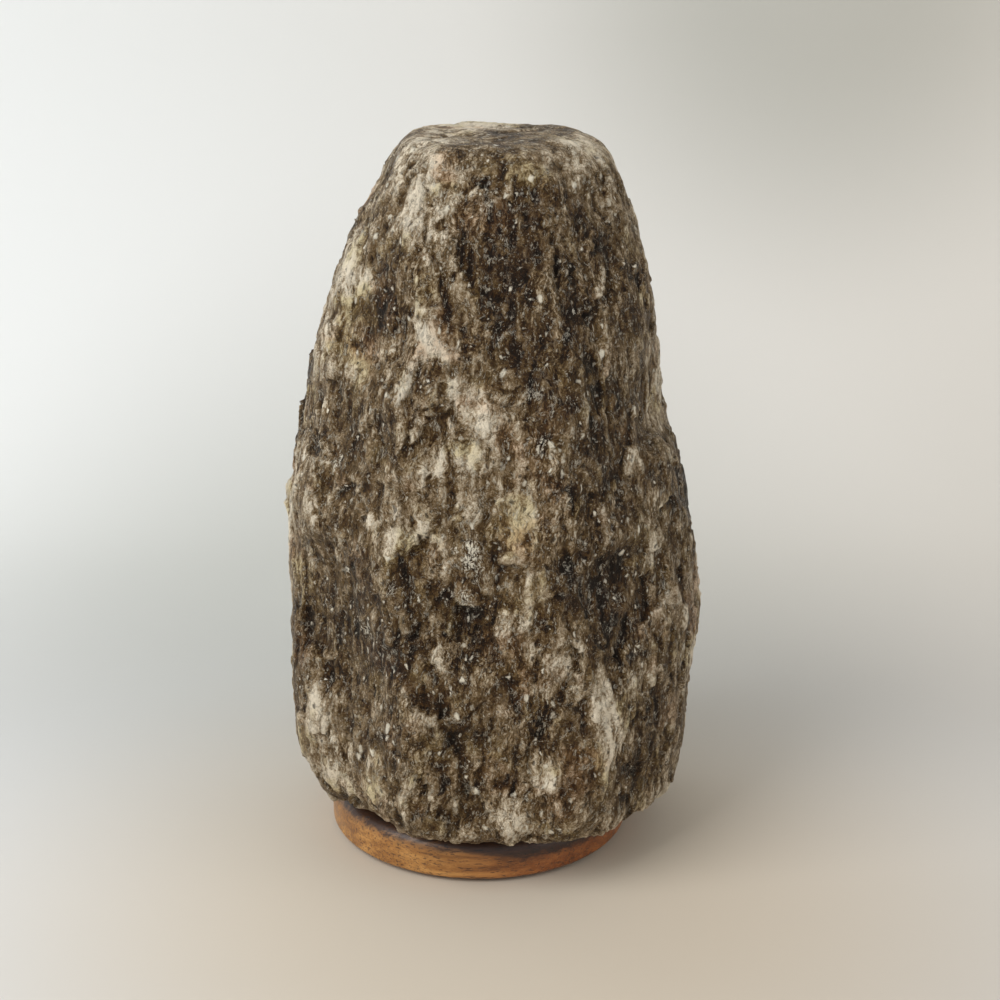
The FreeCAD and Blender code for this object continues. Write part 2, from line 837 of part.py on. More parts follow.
def centre_contact():
    """Springy brass tongue that touches the tip of the bulb."""
    crest = strip_middle + tongue_rise - contact_gap
    path = [
        (-terminal_offset - strip_end, strip_middle),
        (-terminal_offset + strip_end, strip_middle),
        (-tongue_flat, crest),
        (tongue_flat, crest),
        (tongue_tip, strip_middle + tongue_rise / 2),
    ]
    return folded_strip(path, strip_thickness, strip_width).cut(rivet_hole(-1))


def side_contact():
    """Brass strip from the other rivet up to the foot of the screw shell."""
    upright = (shell_outside + block_inner) / 2
    path = [
        (terminal_offset - rivet_head_radius, strip_middle),
        (upright, strip_middle),
        (upright, shell_floor - contact_gap),
    ]
    return folded_strip(path, strip_thickness, strip_width).cut(rivet_hole(1))


def contact_rivets():
    """Two rivets that carry the contacts' current through the block to the terminals."""
    strip_top = block_top + strip_thickness
    shank = rod(rivet_radius, block_floor, strip_top, terminal_offset)
    head = rod(rivet_head_radius, strip_top, strip_top + rivet_head_height, terminal_offset)
    return round_the_axis(shank.fuse(head), [0, 180])


def both_sides(shape):
    """A shape on the right of the block and its copy on the left, both facing the front."""
    copy = shape.copy()
    copy.translate(Vector(-2 * terminal_offset, 0, 0))
    return shape, copy


def terminal():
    """Brass terminal under the block, drilled for the conductor and the clamping screw."""
    low = block_floor - terminal_height
    half_width = terminal_width / 2
    half_depth = terminal_depth / 2
    body = block(
        (terminal_offset - half_width, -half_depth, low),
        (terminal_offset + half_width, half_depth, block_floor),
    )
    wire_hole = rod(terminal_wire_radius, low - over, low + terminal_wire_depth, terminal_offset)
    screw_hole = Part.makeCylinder(
        terminal_screw_radius + contact_gap,
        half_depth + over,
        Vector(terminal_offset, -half_depth - over, low + terminal_wire_depth / 2),
        Vector(0, 1, 0),
    )
    return body.cut([wire_hole, screw_hole])


def terminal_screw():
    """Clamping screw of a terminal, driven from the front."""
    height = block_floor - terminal_height + terminal_wire_depth / 2
    face = -terminal_depth / 2
    head_face = face - terminal_screw_head_height
    shank_length = -face - terminal_wire_radius
    inwards = Vector(0, 1, 0)
    shank = Part.makeCylinder(
        terminal_screw_radius, shank_length, Vector(terminal_offset, face, height), inwards
    )
    head = Part.makeCylinder(
        terminal_screw_head,
        terminal_screw_head_height,
        Vector(terminal_offset, head_face, height),
        inwards,
    )
    half_slot = terminal_screw_slot / 2
    slot = block(
        (terminal_offset - holder_radius, head_face - over, height - half_slot),
        (terminal_offset + holder_radius, head_face + terminal_screw_slot_depth, height + half_slot),
    )
    return shank.fuse(head).cut(slot)


# ---- bulb ---------------------------------------------------------------------------------------
def bulb_contact():
    """Solder button at the bottom of the bulb."""
    corner = quarter_point(tip_flat, insulator_floor, tip_radius - tip_flat, -45)
    return turned(
        [
            (0, insulator_floor),
            (0, tip_floor),
            (tip_flat, tip_floor),
            (tip_radius, insulator_floor, *corner),
        ]
    )


def bulb_insulator():
    """Black glass insulator between the tip and the screw cap."""
    inside_cap = thread_mean_radius - thread_wave - sheet - contact_gap
    return turned(
        [
            (0, insulator_floor),
            (tip_radius + insulator_lip, insulator_floor),
            (inside_cap, cap_floor),
            (inside_cap, cap_floor + insulator_plug),
            (0, cap_floor + insulator_plug),
        ]
    )


def bulb_cap():
    """Screw cap of the bulb, with a flared skirt that holds the glass."""
    outer = thread_solid(thread_mean_radius, -1, cap_floor, cap_thread_top)
    inner = thread_solid(thread_mean_radius - sheet, -1, cap_floor, cap_thread_top)
    root = thread_mean_radius - thread_wave
    flare_top = cap_thread_top + cap_flare_height
    flare_bend = cap_thread_top + cap_flare_slope
    flare = turned(
        [
            (root - sheet, cap_thread_top),
            (root, cap_thread_top),
            (cap_flare_radius, flare_bend),
            (cap_flare_radius, flare_top),
            (cap_flare_radius - sheet, flare_top),
            (cap_flare_radius - sheet, flare_bend),
        ]
    )
    return outer.cut(inner).fuse(flare)


def glass_solid(inset):
    """The bulb's pear shape from its neck to its top, moved inwards by an inset."""
    radius = bulb_radius - inset
    neck = bulb_neck_radius - inset
    shoulder = glass_floor + bulb_neck_height
    widest = shoulder + bulb_shoulder_height
    ball_middle = bulb_top - bulb_radius
    shoulder_middle = (
        neck + (radius - neck) * (0.5 + bulb_shoulder_bulge),
        (shoulder + widest) / 2,
    )
    crown_middle = quarter_point(0, ball_middle, radius, 45)
    return turned(
        [
            (0, glass_floor),
            (neck, glass_floor),
            (neck, shoulder),
            (radius, widest, *shoulder_middle),
            (radius, ball_middle),
            (0, bulb_top - inset, *crown_middle),
        ]
    )


def bulb_glass():
    """Hollow glass of a small pear-shaped bulb."""
    return glass_solid(0.0).cut(glass_solid(bulb_wall))


def bulb_stem():
    """Glass stem inside the bulb, flared at its foot."""
    foot = bulb_neck_radius - bulb_wall - contact_gap
    flare_foot = stem_floor + stem_foot
    flare_middle = (
        stem_radius + (foot - stem_radius) * (1 - math.sqrt(0.5)),
        flare_foot + stem_flare * (1 - math.sqrt(0.5)),
    )
    return turned(
        [
            (0, stem_floor),
            (foot, stem_floor),
            (foot, flare_foot),
            (stem_radius, flare_foot + stem_flare, *flare_middle),
            (stem_radius, stem_top),
            (0, stem_top),
        ]
    )


def bulb_lead_wires():
    """Two wires from the stem to the ends of the filament."""
    root = stem_radius / 2
    right = wire_rod(
        [
            Vector(root, 0, stem_top),
            Vector(root, 0, stem_top + lead_wire_straight),
            Vector(filament_spread, 0, stem_top + lead_wire_rise),
        ],
        wire_radius,
    )
    return round_the_axis(right, [0, 180])


def filament_points():
    """The filament rises from one lead wire to the support and falls to the other."""
    low = stem_top + lead_wire_rise + wire_radius + filament_radius
    points = []
    for index in range(filament_spans + 1):
        angle = math.pi * index / filament_spans
        x = -filament_spread * math.cos(angle)
        points.append(Vector(x, 0, low + filament_rise * math.sin(angle)))
    return points


def bulb_filament():
    """Tungsten filament in an arch."""
    return wire_rod(filament_points(), filament_radius)


def filament_support():
    """Wire from the stem that holds the middle of the filament."""
    crown = max(point.z for point in filament_points())
    top = crown - filament_radius - wire_radius
    return wire_rod([Vector(0, 0, stem_top), Vector(0, 0, top)], wire_radius)


# ---- writing the pieces -------------------------------------------------------------------------
def pieces():
    """Every node's name and its shape."""
    made = {
        "salt_crystal": salt_crystal(),
        "wooden_base": wooden_base(),
        "base_screws": round_the_axis(base_screw(), base_screw_angles),
        "screw_plugs": round_the_axis(screw_plug(), base_screw_angles),
        "retaining_plate": retaining_plate(),
        "spring_collar": spring_collar(),
        "lock_washer": lock_washer(),
        "nipple_nut": nipple_nut(),
        "threaded_nipple": threaded_nipple(),
        "holder_cap": holder_cap(),
        "cap_lock_screw": cap_lock_screw(),
        "holder_skirt": holder_skirt(),
        "contact_block": contact_block(),
        "screw_shell": screw_shell(),
        "centre_contact": centre_contact(),
        "side_contact": side_contact(),
        "contact_rivets": contact_rivets(),
        "terminal_screws": Part.makeCompound(both_sides(terminal_screw())),
        "bulb_contact": bulb_contact(),
        "bulb_insulator": bulb_insulator(),
        "bulb_cap": bulb_cap(),
        "bulb_glass": bulb_glass(),
        "bulb_stem": bulb_stem(),
        "bulb_lead_wires": bulb_lead_wires(),
        "bulb_filament": bulb_filament(),
        "filament_support": filament_support(),
    }
    for number, angle in enumerate(foot_angles(), start=1):
        made[f"foot_{number}"] = turn(foot(), angle)
    made["terminal_right"], made["terminal_left"] = both_sides(terminal())
    return made


def main():
    os.makedirs("parts", exist_ok=True)
    for name, shape in pieces().items():
        solids = shape.Solids
        good = all(solid.isValid() and solid.Volume > 0 for solid in solids)
        print(f"{name}: {len(solids)} solid(s), {shape.Volume:.1f} mm3, valid {good}")
        shape.exportStep(f"parts/{name}.step")


main()
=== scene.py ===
"""Salt crystal lamp: a rough grey rock of salt on a turned wooden base, dressed for rendering.

Metres, +Z up, the front of the lamp towards -Y.
"""

import math

import bpy
import numpy as np
from mathutils import Matrix, Vector, kdtree, noise


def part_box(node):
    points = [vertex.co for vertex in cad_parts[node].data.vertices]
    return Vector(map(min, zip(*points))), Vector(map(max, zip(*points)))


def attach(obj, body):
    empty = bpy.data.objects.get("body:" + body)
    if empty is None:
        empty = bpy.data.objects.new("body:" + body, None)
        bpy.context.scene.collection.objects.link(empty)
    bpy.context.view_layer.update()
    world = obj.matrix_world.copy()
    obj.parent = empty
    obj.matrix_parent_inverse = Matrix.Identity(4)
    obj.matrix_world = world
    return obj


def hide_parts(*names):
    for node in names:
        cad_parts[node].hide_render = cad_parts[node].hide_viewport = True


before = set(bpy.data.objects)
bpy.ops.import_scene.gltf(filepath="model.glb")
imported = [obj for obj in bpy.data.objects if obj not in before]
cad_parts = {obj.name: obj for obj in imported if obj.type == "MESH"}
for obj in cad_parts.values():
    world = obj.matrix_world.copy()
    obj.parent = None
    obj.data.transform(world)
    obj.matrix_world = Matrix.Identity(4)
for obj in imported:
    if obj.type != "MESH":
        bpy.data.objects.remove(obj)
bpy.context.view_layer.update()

bl_info = {
    "name": "Salt crystal lamp",
    "version": (1, 0, 0),
    "blender": (4, 5, 0),
    "location": "3D View > Sidebar > Salt lamp",
    "description": "Dresses a salt crystal lamp: its rock, its wooden base, its light unit "
    "and its bulb",
    "category": "Object",
}

MM = 0.001
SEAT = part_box("salt_crystal")[0].z  # where the rock stands on its base

# Milky clouds in the salt: the angle round the lamp in degrees, anticlockwise from its right, the
# height above the seat in mm, half the width and half the height in mm, the lean to the right in
# degrees, and the strength.
MILKY_CLOUDS = [
    (222, 236, 6, 4, 0, 0.40),
    (218, 227, 7, 6, 0, 0.45),
    (241, 221, 6, 10, 12, 0.85),
    (207, 197, 11, 10, 22, 0.80),
    (219, 194, 3, 9, 8, 0.55),
    (247, 190, 3, 5, 0, 0.75),
    (250, 180, 5, 5, 0, 0.90),
    (245, 167, 3, 9, 25, 0.95),
    (256, 176, 3, 4, -20, 0.70),
    (219, 165, 9, 5, 0, 0.60),
    (211, 171, 12, 4, 0, 0.40),
    (261, 165, 3, 4, 0, 0.65),
    (266, 158, 6, 5, -35, 0.80),
    (272, 152, 6, 3, -10, 0.65),
    (254, 140, 4, 3, 0, 0.60),
    (270, 143, 3, 4, 0, 0.45),
    (313, 174, 3, 7, -8, 0.60),
    (343, 189, 6, 7, 0, 0.40),
    (315, 200, 4, 7, -20, 0.30),
    (101, 239, 9, 6, 0, 0.30),
    (284, 122, 5, 11, 0, 0.80),
    (246, 121, 6, 9, 0, 0.50),
    (250, 113, 5, 3, 0, 0.55),
    (256, 108, 4, 5, 0, 0.45),
    (287, 98, 6, 6, 0, 0.50),
    (281, 82, 6, 11, 0, 0.35),
    (294, 74, 7, 9, 0, 0.60),
    (288, 63, 6, 3, 0, 0.60),
    (306, 57, 5, 10, 0, 0.80),
    (315, 58, 4, 5, 0, 0.50),
    (308, 38, 6, 9, 10, 0.70),
    (326, 108, 4, 8, -15, 0.50),
    (332, 85, 5, 12, 0, 0.35),
    (214, 40, 8, 9, 20, 0.60),
    (216, 19, 7, 7, 0, 0.40),
    (251, 58, 3, 7, 0, 0.45),
    (255, 74, 5, 4, 0, 0.40),
    (256, 41, 4, 4, 0, 0.45),
    (280, 14, 6, 5, 0, 0.75),
    (240, 22, 9, 5, 0, 0.45),
    (223, 14, 7, 4, 0, 0.50),
    (290, 30, 4, 7, 0, 0.30),
    (223, 108, 7, 3, 0, 0.40),
]

# Smoky, clearer salt, in the same terms.
SMOKY_DEPTHS = [
    (275, 211, 13, 26, 0, 0.50),
    (304, 214, 13, 18, 0, 0.50),
    (237, 202, 8, 6, 0, 0.60),
    (234, 187, 5, 8, 0, 0.75),
    (267, 173, 4, 6, 0, 0.60),
    (294, 187, 16, 28, 0, 0.55),
    (305, 134, 18, 33, 0, 0.50),
    (306, 92, 19, 19, 0, 0.60),
    (243, 147, 5, 7, 0, 0.70),
    (268, 85, 5, 9, 0, 0.90),
    (236, 76, 14, 20, 0, 0.60),
    (247, 104, 4, 5, 0, 0.80),
    (236, 48, 12, 14, 0, 0.60),
    (262, 47, 9, 11, 0, 0.40),
    (288, 47, 8, 9, 0, 0.40),
    (320, 35, 8, 16, 10, 0.80),
    (278, 63, 4, 5, 0, 0.50),
    (252, 168, 3, 4, 10, 0.60),
    (265, 26, 10, 6, 0, 0.40),
    (322, 207, 4, 4, 0, 0.70),
    (281, 33, 3, 8, 0, 0.60),
]

# White flakes on the surface, in the same terms.
WHITE_FLAKES = [
    (268, 108, 3.0, 7, -5, 1.0),
    (265, 94, 4.5, 2.2, 40, 0.9),
    (290, 146, 1.5, 4, 15, 1.0),
    (287, 165, 1.2, 4, 0, 0.7),
    (295, 142, 1.6, 3, 0, 0.7),
    (217, 133, 2.0, 3, 0, 1.0),
    (254, 201, 1.8, 3, 0, 0.7),
    (273, 222, 1.8, 4, 0, 0.8),
    (326, 236, 1.8, 3, 15, 0.7),
    (262, 109, 1.4, 1.4, 0, 1.0),
    (318, 71, 3.5, 2.2, 0, 0.8),
    (244, 97, 1.8, 3, 0, 0.8),
    (233, 78, 5.5, 2, 30, 0.7),
    (284, 10, 4, 3, 0, 0.7),
    (245, 165, 1.6, 8, 25, 0.8),
]

# Ledges where the salt broke away: from one angle and height to another, then how deep the step is
# and how far it runs out, both in mm.  The side to the right of the way between them sinks.
LEDGES = [
    (243, 158, 248, 176, 2.4, 7),
    (258, 183, 236, 236, 1.4, 10),
    (260, 80, 263, 92, 2.0, 6),
    (263, 92, 271, 91, 1.6, 7),
    (287, 70, 286, 81, 1.2, 5),
    (313, 180, 313, 167, 1.0, 6),
    (305, 19, 308, 42, 1.6, 8),
    (210, 179, 208, 211, 1.2, 8),
    (234, 134, 233, 153, 1.4, 6),
    (306, 147, 305, 165, 1.1, 6),
    (305, 73, 325, 69, 1.3, 9),
    (332, 12, 322, 55, 1.6, 10),
    (249, 82, 246, 107, 1.5, 6),
    (270, 117, 273, 129, 1.2, 5),
    (218, 132, 200, 135, 1.0, 8),
    (280, 22, 281, 40, 1.2, 6),
    (224, 18, 222, 33, 1.0, 6),
]

# Facets of the broken salt: how far apart and how tall they are, how they tilt, a seed, how many
# planes meet, and how much each differs in tone.
FACETS = [
    (9.0, 2.0, 0.10, 11, 2, 0.30),
    (4.2, 2.2, 0.10, 12, 1, 0.40),
]


# In mm: the radius outside the seat's holes at which the rough skin begins and is full, the same
# for its height above the seat, and the heights between which the flatter crest begins.
SKIN_EDGE = (43.5, 46.5)
SEAT_EDGE = (0.2, 3.0)
CREST = (226.0, 238.0)

SMOOTHINGS = 10  # of the points that the rock's own relief is measured from
LAMPS_LOOK_AT = Vector((0.0, 0.0, 0.12))


# ---- small tools for meshes ---------------------------------------------------------------------
def select_only(piece):
    """Leaves one object selected and active."""
    for other in bpy.context.selected_objects:
        other.select_set(False)
    piece.select_set(True)
    bpy.context.view_layer.objects.active = piece


def apply_modifier(piece, modifier):
    """Applies one modifier of a piece."""
    select_only(piece)
    bpy.ops.object.modifier_apply(modifier=modifier.name)


def copy_of_node(node, name):
    """A piece with its own merged copy of a CAD node's mesh."""
    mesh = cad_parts[node].data.copy()
    mesh.name = name
    mesh.materials.clear()
    piece = bpy.data.objects.new(name, mesh)
    bpy.context.scene.collection.objects.link(piece)
    select_only(piece)
    bpy.ops.object.mode_set(mode="EDIT")
    bpy.ops.mesh.select_all(action="SELECT")
    bpy.ops.mesh.remove_doubles(threshold=0.000001)
    bpy.ops.object.mode_set(mode="OBJECT")
    return piece


def points_of(mesh):
    """The mesh's vertices as an array."""
    flat = np.empty(len(mesh.vertices) * 3)
    mesh.vertices.foreach_get("co", flat)
    return flat.reshape(-1, 3)


def normals_of(mesh):
    """The mesh's vertex normals as an array."""
    flat = np.empty(len(mesh.vertices) * 3)
    mesh.vertex_normals.foreach_get("vector", flat)
    return flat.reshape(-1, 3)


def store(mesh, name, values):
    """Keeps one number for each vertex as an attribute that materials read."""
    attribute = mesh.attributes.new(name, "FLOAT", "POINT")
    attribute.data.foreach_set("value", np.asarray(values, np.float32))


def smooth_step(low, high, values):
    """Nothing below low, one above high, and a smooth rise between."""
    share = np.clip((values - low) / (high - low), 0.0, 1.0)
    return share * share * (3.0 - 2.0 * share)


def field(points, size, stretch, octaves, seed):
    """Smooth noise at each point, about -1 to 1: its size in mm, and how much taller than wide."""
    shift = Vector((seed * 17.3, seed * 5.1, seed * 9.7))
    scaled = points / (size * MM) * np.array((1.0, 1.0, 1.0 / stretch))
    return np.array([noise.fractal(Vector(p) + shift, 0.9, 2.1, octaves) for p in scaled])


def neighbour_mean(values, edges, count):
    """The mean of each vertex's neighbours."""
    total = np.zeros_like(values)
    np.add.at(total, edges[:, 0], values[edges[:, 1]])
    np.add.at(total, edges[:, 1], values[edges[:, 0]])
    return total / count[:, None]


# ---- the rock -----------------------------------------------------------------------------------
def outer_skin(points):
    """One on the rock's outside, nothing in its bore, its plug holes and its seat."""
    height = (points[:, 2] - SEAT) / MM
    radius = np.hypot(points[:, 0], points[:, 1]) / MM
    outside = smooth_step(*SKIN_EDGE, radius + 0.35 * np.maximum(height, 0.0))
    calm_top = 1.0 - 0.65 * smooth_step(*CREST, height)
    return outside * smooth_step(*SEAT_EDGE, height) * calm_top


def broken_texture(name, kind, size, **settings):
    """A texture for a Displace modifier, in mm."""
    texture = bpy.data.textures.new(name, kind)
    texture.noise_scale = size
    for key, value in settings.items():
        setattr(texture, key, value)
    return texture


def displace(piece, texture, depth, stretch, lean, middle=0.5):
    """Moves the outer skin by a texture that is stretched upwards and leans a little."""
    guide = bpy.data.objects.new("texture_guide", None)
    guide.scale = (MM, MM, MM * stretch)
    guide.rotation_euler = (0.0, math.radians(lean), 0.3)
    bpy.context.scene.collection.objects.link(guide)
    bpy.context.view_layer.update()
    modifier = piece.modifiers.new("relief", "DISPLACE")
    modifier.texture = texture
    modifier.texture_coords = "OBJECT"
    modifier.texture_coords_object = guide
    modifier.strength = depth
    modifier.mid_level = middle
    modifier.vertex_group = "skin"
    apply_modifier(piece, modifier)
    bpy.data.objects.remove(guide)


def plane_heights(points, mesh_size, spacing, stretch, slope, seed, near):
    """Flat facets round scattered middles: the lowest of the nearest planes, in metres, and a tone
    for the nearest one from -1 to 1."""
    numbers = np.random.default_rng(seed)
    area = len(points) * (mesh_size / (spacing * MM)) ** 2
    chosen = numbers.choice(len(points), int(area / stretch), replace=False)
    squeeze = np.array((1.0, 1.0, 1.0 / stretch))
    middles = points[chosen]
    tilts = numbers.normal(0.0, slope, (len(chosen), 3)) * (1.0, 1.0, 1.0 / stretch)
    lifts = numbers.normal(0.0, slope * spacing * MM * 0.4, len(chosen))
    tones = numbers.uniform(-1.0, 1.0, len(chosen))
    tree = kdtree.KDTree(len(chosen))
    for index, middle in enumerate(middles * squeeze):
        tree.insert(Vector(middle), index)
    tree.balance()
    found = np.array([[hit[1] for hit in tree.find_n(Vector(p), near)] for p in points * squeeze])
    away = points[:, None, :] - middles[found]
    heights = (away * tilts[found]).sum(2) + lifts[found]
    lowest = heights.min(1)
    return lowest - lowest.mean(), tones[found[:, 0]]


def round_the_rock(points):
    """Angle in radians and height above the seat in mm of each point, and its radius in mm."""
    angle = np.arctan2(points[:, 1], points[:, 0])
    height = (points[:, 2] - SEAT) / MM
    radius = np.hypot(points[:, 0], points[:, 1]) / MM
    return angle, height, radius


def wrapped(angle):
    """The same angle between minus and plus half a turn."""
    return (angle + math.pi) % (2.0 * math.pi) - math.pi


def spot(points, warp, row, edge):
    """How much each point lies in an oval spot on the rock's skin, from 0 to 1."""
    degrees, level, half_width, half_height, lean, strength = row
    angle, height, radius = round_the_rock(points)
    across = wrapped(angle - math.radians(degrees)) * radius + warp[:, 0]
    along = height - level + warp[:, 1]
    turn = math.radians(lean)
    wide = (across * math.cos(turn) - along * math.sin(turn)) / half_width
    tall = (across * math.sin(turn) + along * math.cos(turn)) / half_height
    reach = np.sqrt(wide * wide + tall * tall)
    return strength * (1.0 - smooth_step(1.0 - edge, 1.0 + edge, reach))


def ledge_depth(points, row, seed):
    """How far a ledge sinks each point, in mm."""
    start_angle, start_level, end_angle, end_level, step, run = row
    angle, height, radius = round_the_rock(points)
    middle = math.radians((start_angle + end_angle) / 2)
    here = np.abs(wrapped(angle - middle)) < 1.0
    typical = radius[here & (np.abs(height - (start_level + end_level) / 2) < 12)]
    size = float(typical.max()) if typical.size else float(radius.max())
    start = np.array((math.radians(start_angle) * size, start_level))
    end = np.array((math.radians(end_angle) * size, end_level))
    way = end - start
    length = math.hypot(*way)
    way = way / length
    flat = np.stack((middle * size + wrapped(angle - middle) * size, height), 1) - start
    along = flat @ way / length
    aside = flat @ np.array((way[1], -way[0]))
    wander = np.array(
        [
            noise.noise(Vector((a * 2.5 + seed * 3.7, h / 9.0, seed * 1.9)))
            for a, h in zip(angle, height)
        ]
    )
    aside = aside + 2.2 * wander
    ends = smooth_step(-0.12, 0.16, along) * smooth_step(-0.12, 0.16, 1.0 - along)
    sunk = smooth_step(-0.3, 0.9, aside) * np.exp(-np.maximum(aside, 0.0) / run)
    lip = -0.22 * np.exp(-np.abs(aside + 0.9) / 2.2)
    return step * here * ends * (sunk + lip * (aside < 0.6))


def far_side_ledges():
    """More ledges, for the sides and the back, from a fixed row of numbers."""
    rows = []
    for index in range(30):
        degrees = -28.0 + 216.0 * ((index * 0.618) % 1.0)
        level = 12.0 + 205.0 * ((index * 0.414 + 0.2) % 1.0)
        lean = -16.0 + 30.0 * ((index * 0.732 + 0.1) % 1.0)
        length = 12.0 + 18.0 * ((index * 0.275) % 1.0)
        rows.append(
            (
                degrees,
                level,
                degrees + lean * 0.6,
                level + length,
                0.8 + 1.2 * ((index * 0.577) % 1.0),
                5.0 + 5.0 * ((index * 0.347) % 1.0),
            )
        )
    return rows


def paint_rock(mesh, points, settings):
    """Stores where the salt is milky and flaked, and how far each point stands out or sinks, for
    its material, which paints that relief lighter on edges, partly as whiter broken salt and
    partly as painted highlight, and darker in hollows as painted shade.
    """
    warp = np.stack((field(points, 9, 1.3, 3, 3) * 2.4, field(points, 10, 1.3, 3, 4) * 3.6), 1)
    angle, height, _ = round_the_rock(points)
    from_front = np.abs(wrapped(angle + math.pi / 2))
    own_clouds = 0.24 + 0.30 * smooth_step(1.15, 1.6, from_front)
    clouds = field(points, 34, 1.5, 3, 5) + 0.7 * field(points, 13, 1.7, 3, 6)
    milk = settings.milk_level + own_clouds * clouds
    milk += 0.16 * smooth_step(*CREST, height)
    for row in SMOKY_DEPTHS:
        milk -= settings.smoke_depth * spot(points, warp, row, 0.75)
    for row in MILKY_CLOUDS:
        milk += settings.milk_depth * spot(points, warp, row, 0.65)
    flakes = np.zeros(len(points))
    for row in WHITE_FLAKES:
        flakes = np.maximum(flakes, spot(points, warp * 0.5, row, 0.6))
    edges = np.empty(len(mesh.edges) * 2, int)
    mesh.edges.foreach_get("vertices", edges)
    edges = edges.reshape(-1, 2)
    count = np.bincount(edges.ravel(), minlength=len(points)).astype(float)
    smoothed = points.copy()
    for _ in range(SMOOTHINGS):
        smoothed = (smoothed + neighbour_mean(smoothed, edges, count)) / 2.0
    relief = ((points - smoothed) * normals_of(mesh)).sum(1) / MM
    store(mesh, "milk", np.clip(milk, -0.4, 1.4))
    store(mesh, "flakes", flakes)
    store(mesh, "relief", np.clip(relief / 0.6, -1.0, 1.0))


def build_rock(settings):
    """The rough rock, from the CAD rock: remeshed, broken, grooved and pitted."""
    rock = copy_of_node("salt_crystal", "salt_rock")
    modifier = rock.modifiers.new("even_mesh", "REMESH")
    modifier.mode = "VOXEL"
    modifier.voxel_size = settings.mesh_size
    apply_modifier(rock, modifier)
    mesh = rock.data
    group = rock.vertex_groups.new(name="skin")
    for index, weight in enumerate(outer_skin(points_of(mesh))):
        group.add([index], float(weight), "REPLACE")
    lumps = broken_texture("lumps", "CLOUDS", 17.0, noise_depth=1, noise_basis="BLENDER_ORIGINAL")
    displace(rock, lumps, settings.lump_depth, 1.5, -4)
    facets = broken_texture("facets", "VORONOI", 12.0, noise_intensity=1.1)
    displace(rock, facets, settings.facet_depth, 1.9, -8, 0.35)
    grooves = broken_texture(
        "grooves", "MUSGRAVE", 4.6, musgrave_type="RIDGED_MULTIFRACTAL", octaves=2.0, gain=1.4
    )
    displace(rock, grooves, settings.groove_depth, 5.0, -5, 0.7)
    points = points_of(mesh)
    normals = normals_of(mesh)
    skin = outer_skin(points)
    sunk = np.zeros(len(points))
    for seed, row in enumerate(LEDGES + far_side_ledges()):
        sunk += ledge_depth(points, row, seed)
    heights = -np.clip(sunk, -0.8, 3.2) * MM
    tones = np.zeros(len(points))
    for spacing, stretch, slope, seed, near, weight in FACETS:
        more, tone = plane_heights(
            points, settings.mesh_size, spacing, stretch, slope, seed, near
        )
        heights += more
        tones += weight * tone
    points += normals * (skin * heights)[:, None]
    mesh.vertices.foreach_set("co", points.ravel())
    mesh.update()
    chips = broken_texture("chips", "VORONOI", 3.4, weight_1=-1.0, weight_2=1.0)
    displace(rock, chips, settings.chip_depth, 1.5, -10, 0.3)
    grit = broken_texture("grit", "CLOUDS", 2.0, noise_depth=2, noise_type="HARD_NOISE")
    displace(rock, grit, settings.grit_depth, 1.8, -6, 0.4)
    points = points_of(mesh)
    on_seat = np.abs(points[:, 2] - SEAT) < 0.0006
    points[on_seat, 2] = SEAT
    mesh.vertices.foreach_set("co", points.ravel())
    mesh.update()
    paint_rock(mesh, points, settings)
    store(mesh, "tone", tones)
    rock.vertex_groups.clear()
    select_only(rock)
    bpy.ops.object.shade_smooth()
    return rock


# ---- small tools for materials ------------------------------------------------------------------
def colour(value):
    """A plain colour with full strength, from a property."""
    return (value[0], value[1], value[2], 1.0)


def srgb(red, green, blue):
    """A colour as a screen shows it, 0 to 255, as Blender's linear colour."""
    parts = []
    for part in (red, green, blue):
        share = part / 255.0
        parts.append(share / 12.92 if share <= 0.04045 else ((share + 0.055) / 1.055) ** 2.4)
    return tuple(parts)


def tint(red, green, blue):
    """The same with full strength, for a colour socket."""
    return colour(srgb(red, green, blue))


def put(tree, kind, sockets=None, **settings):
    """Adds a node.  Its sockets take links or values, by name or by number."""
    made = tree.nodes.new(kind)
    for key, value in settings.items():
        setattr(made, key, value)
    for key, value in (sockets or {}).items():
        socket = made.inputs[key]
        if isinstance(value, bpy.types.NodeSocket):
            tree.links.new(value, socket)
        else:
            socket.default_value = value
    return made


def calc(tree, operation, first, second=0.0, third=0.0, clamp=False):
    """A Math node's result."""
    made = put(tree, "ShaderNodeMath", {0: first, 1: second, 2: third}, operation=operation)
    made.use_clamp = clamp
    return made.outputs[0]


def reckon(tree, operation, first, second, third=(0.0, 0.0, 0.0), output="Vector"):
    """A Vector Math node's result."""
    sockets = {0: first, 1: second, 2: third}
    return put(tree, "ShaderNodeVectorMath", sockets, operation=operation).outputs[output]


def centred(tree, shade):
    """A colour of noise as a vector around nothing."""
    return reckon(tree, "SUBTRACT", shade, (0.5, 0.5, 0.5))


def blend_colours(tree, share, low, high, mode="MIX"):
    """A Mix node's colour."""
    made = tree.nodes.new("ShaderNodeMix")
    made.data_type = "RGBA"
    made.blend_type = mode
    for number, value in ((0, share), (6, low), (7, high)):
        if isinstance(value, bpy.types.NodeSocket):
            tree.links.new(value, made.inputs[number])
        else:
            made.inputs[number].default_value = value
    return made.outputs[2]


def ramp(tree, value, stops, easing="LINEAR"):
    """A Color Ramp's colour, from rows of place and colour."""
    made = put(tree, "ShaderNodeValToRGB", {"Fac": value})
    made.color_ramp.interpolation = easing
    elements = made.color_ramp.elements
    while len(elements) < len(stops):
        elements.new(1.0)
    for element, (place, shade) in zip(elements, stops):
        element.position = place
        element.color = (*shade[:3], 1.0)
    return made.outputs["Color"]


def band(tree, value, low, high, start=0.0, end=1.0):
    """A value moved smoothly from one range to another."""
    made = put(
        tree,
        "ShaderNodeMapRange",
        {"Value": value, "From Min": low, "From Max": high, "To Min": start, "To Max": end},
        interpolation_type="SMOOTHSTEP",
    )
    return made.outputs["Result"]


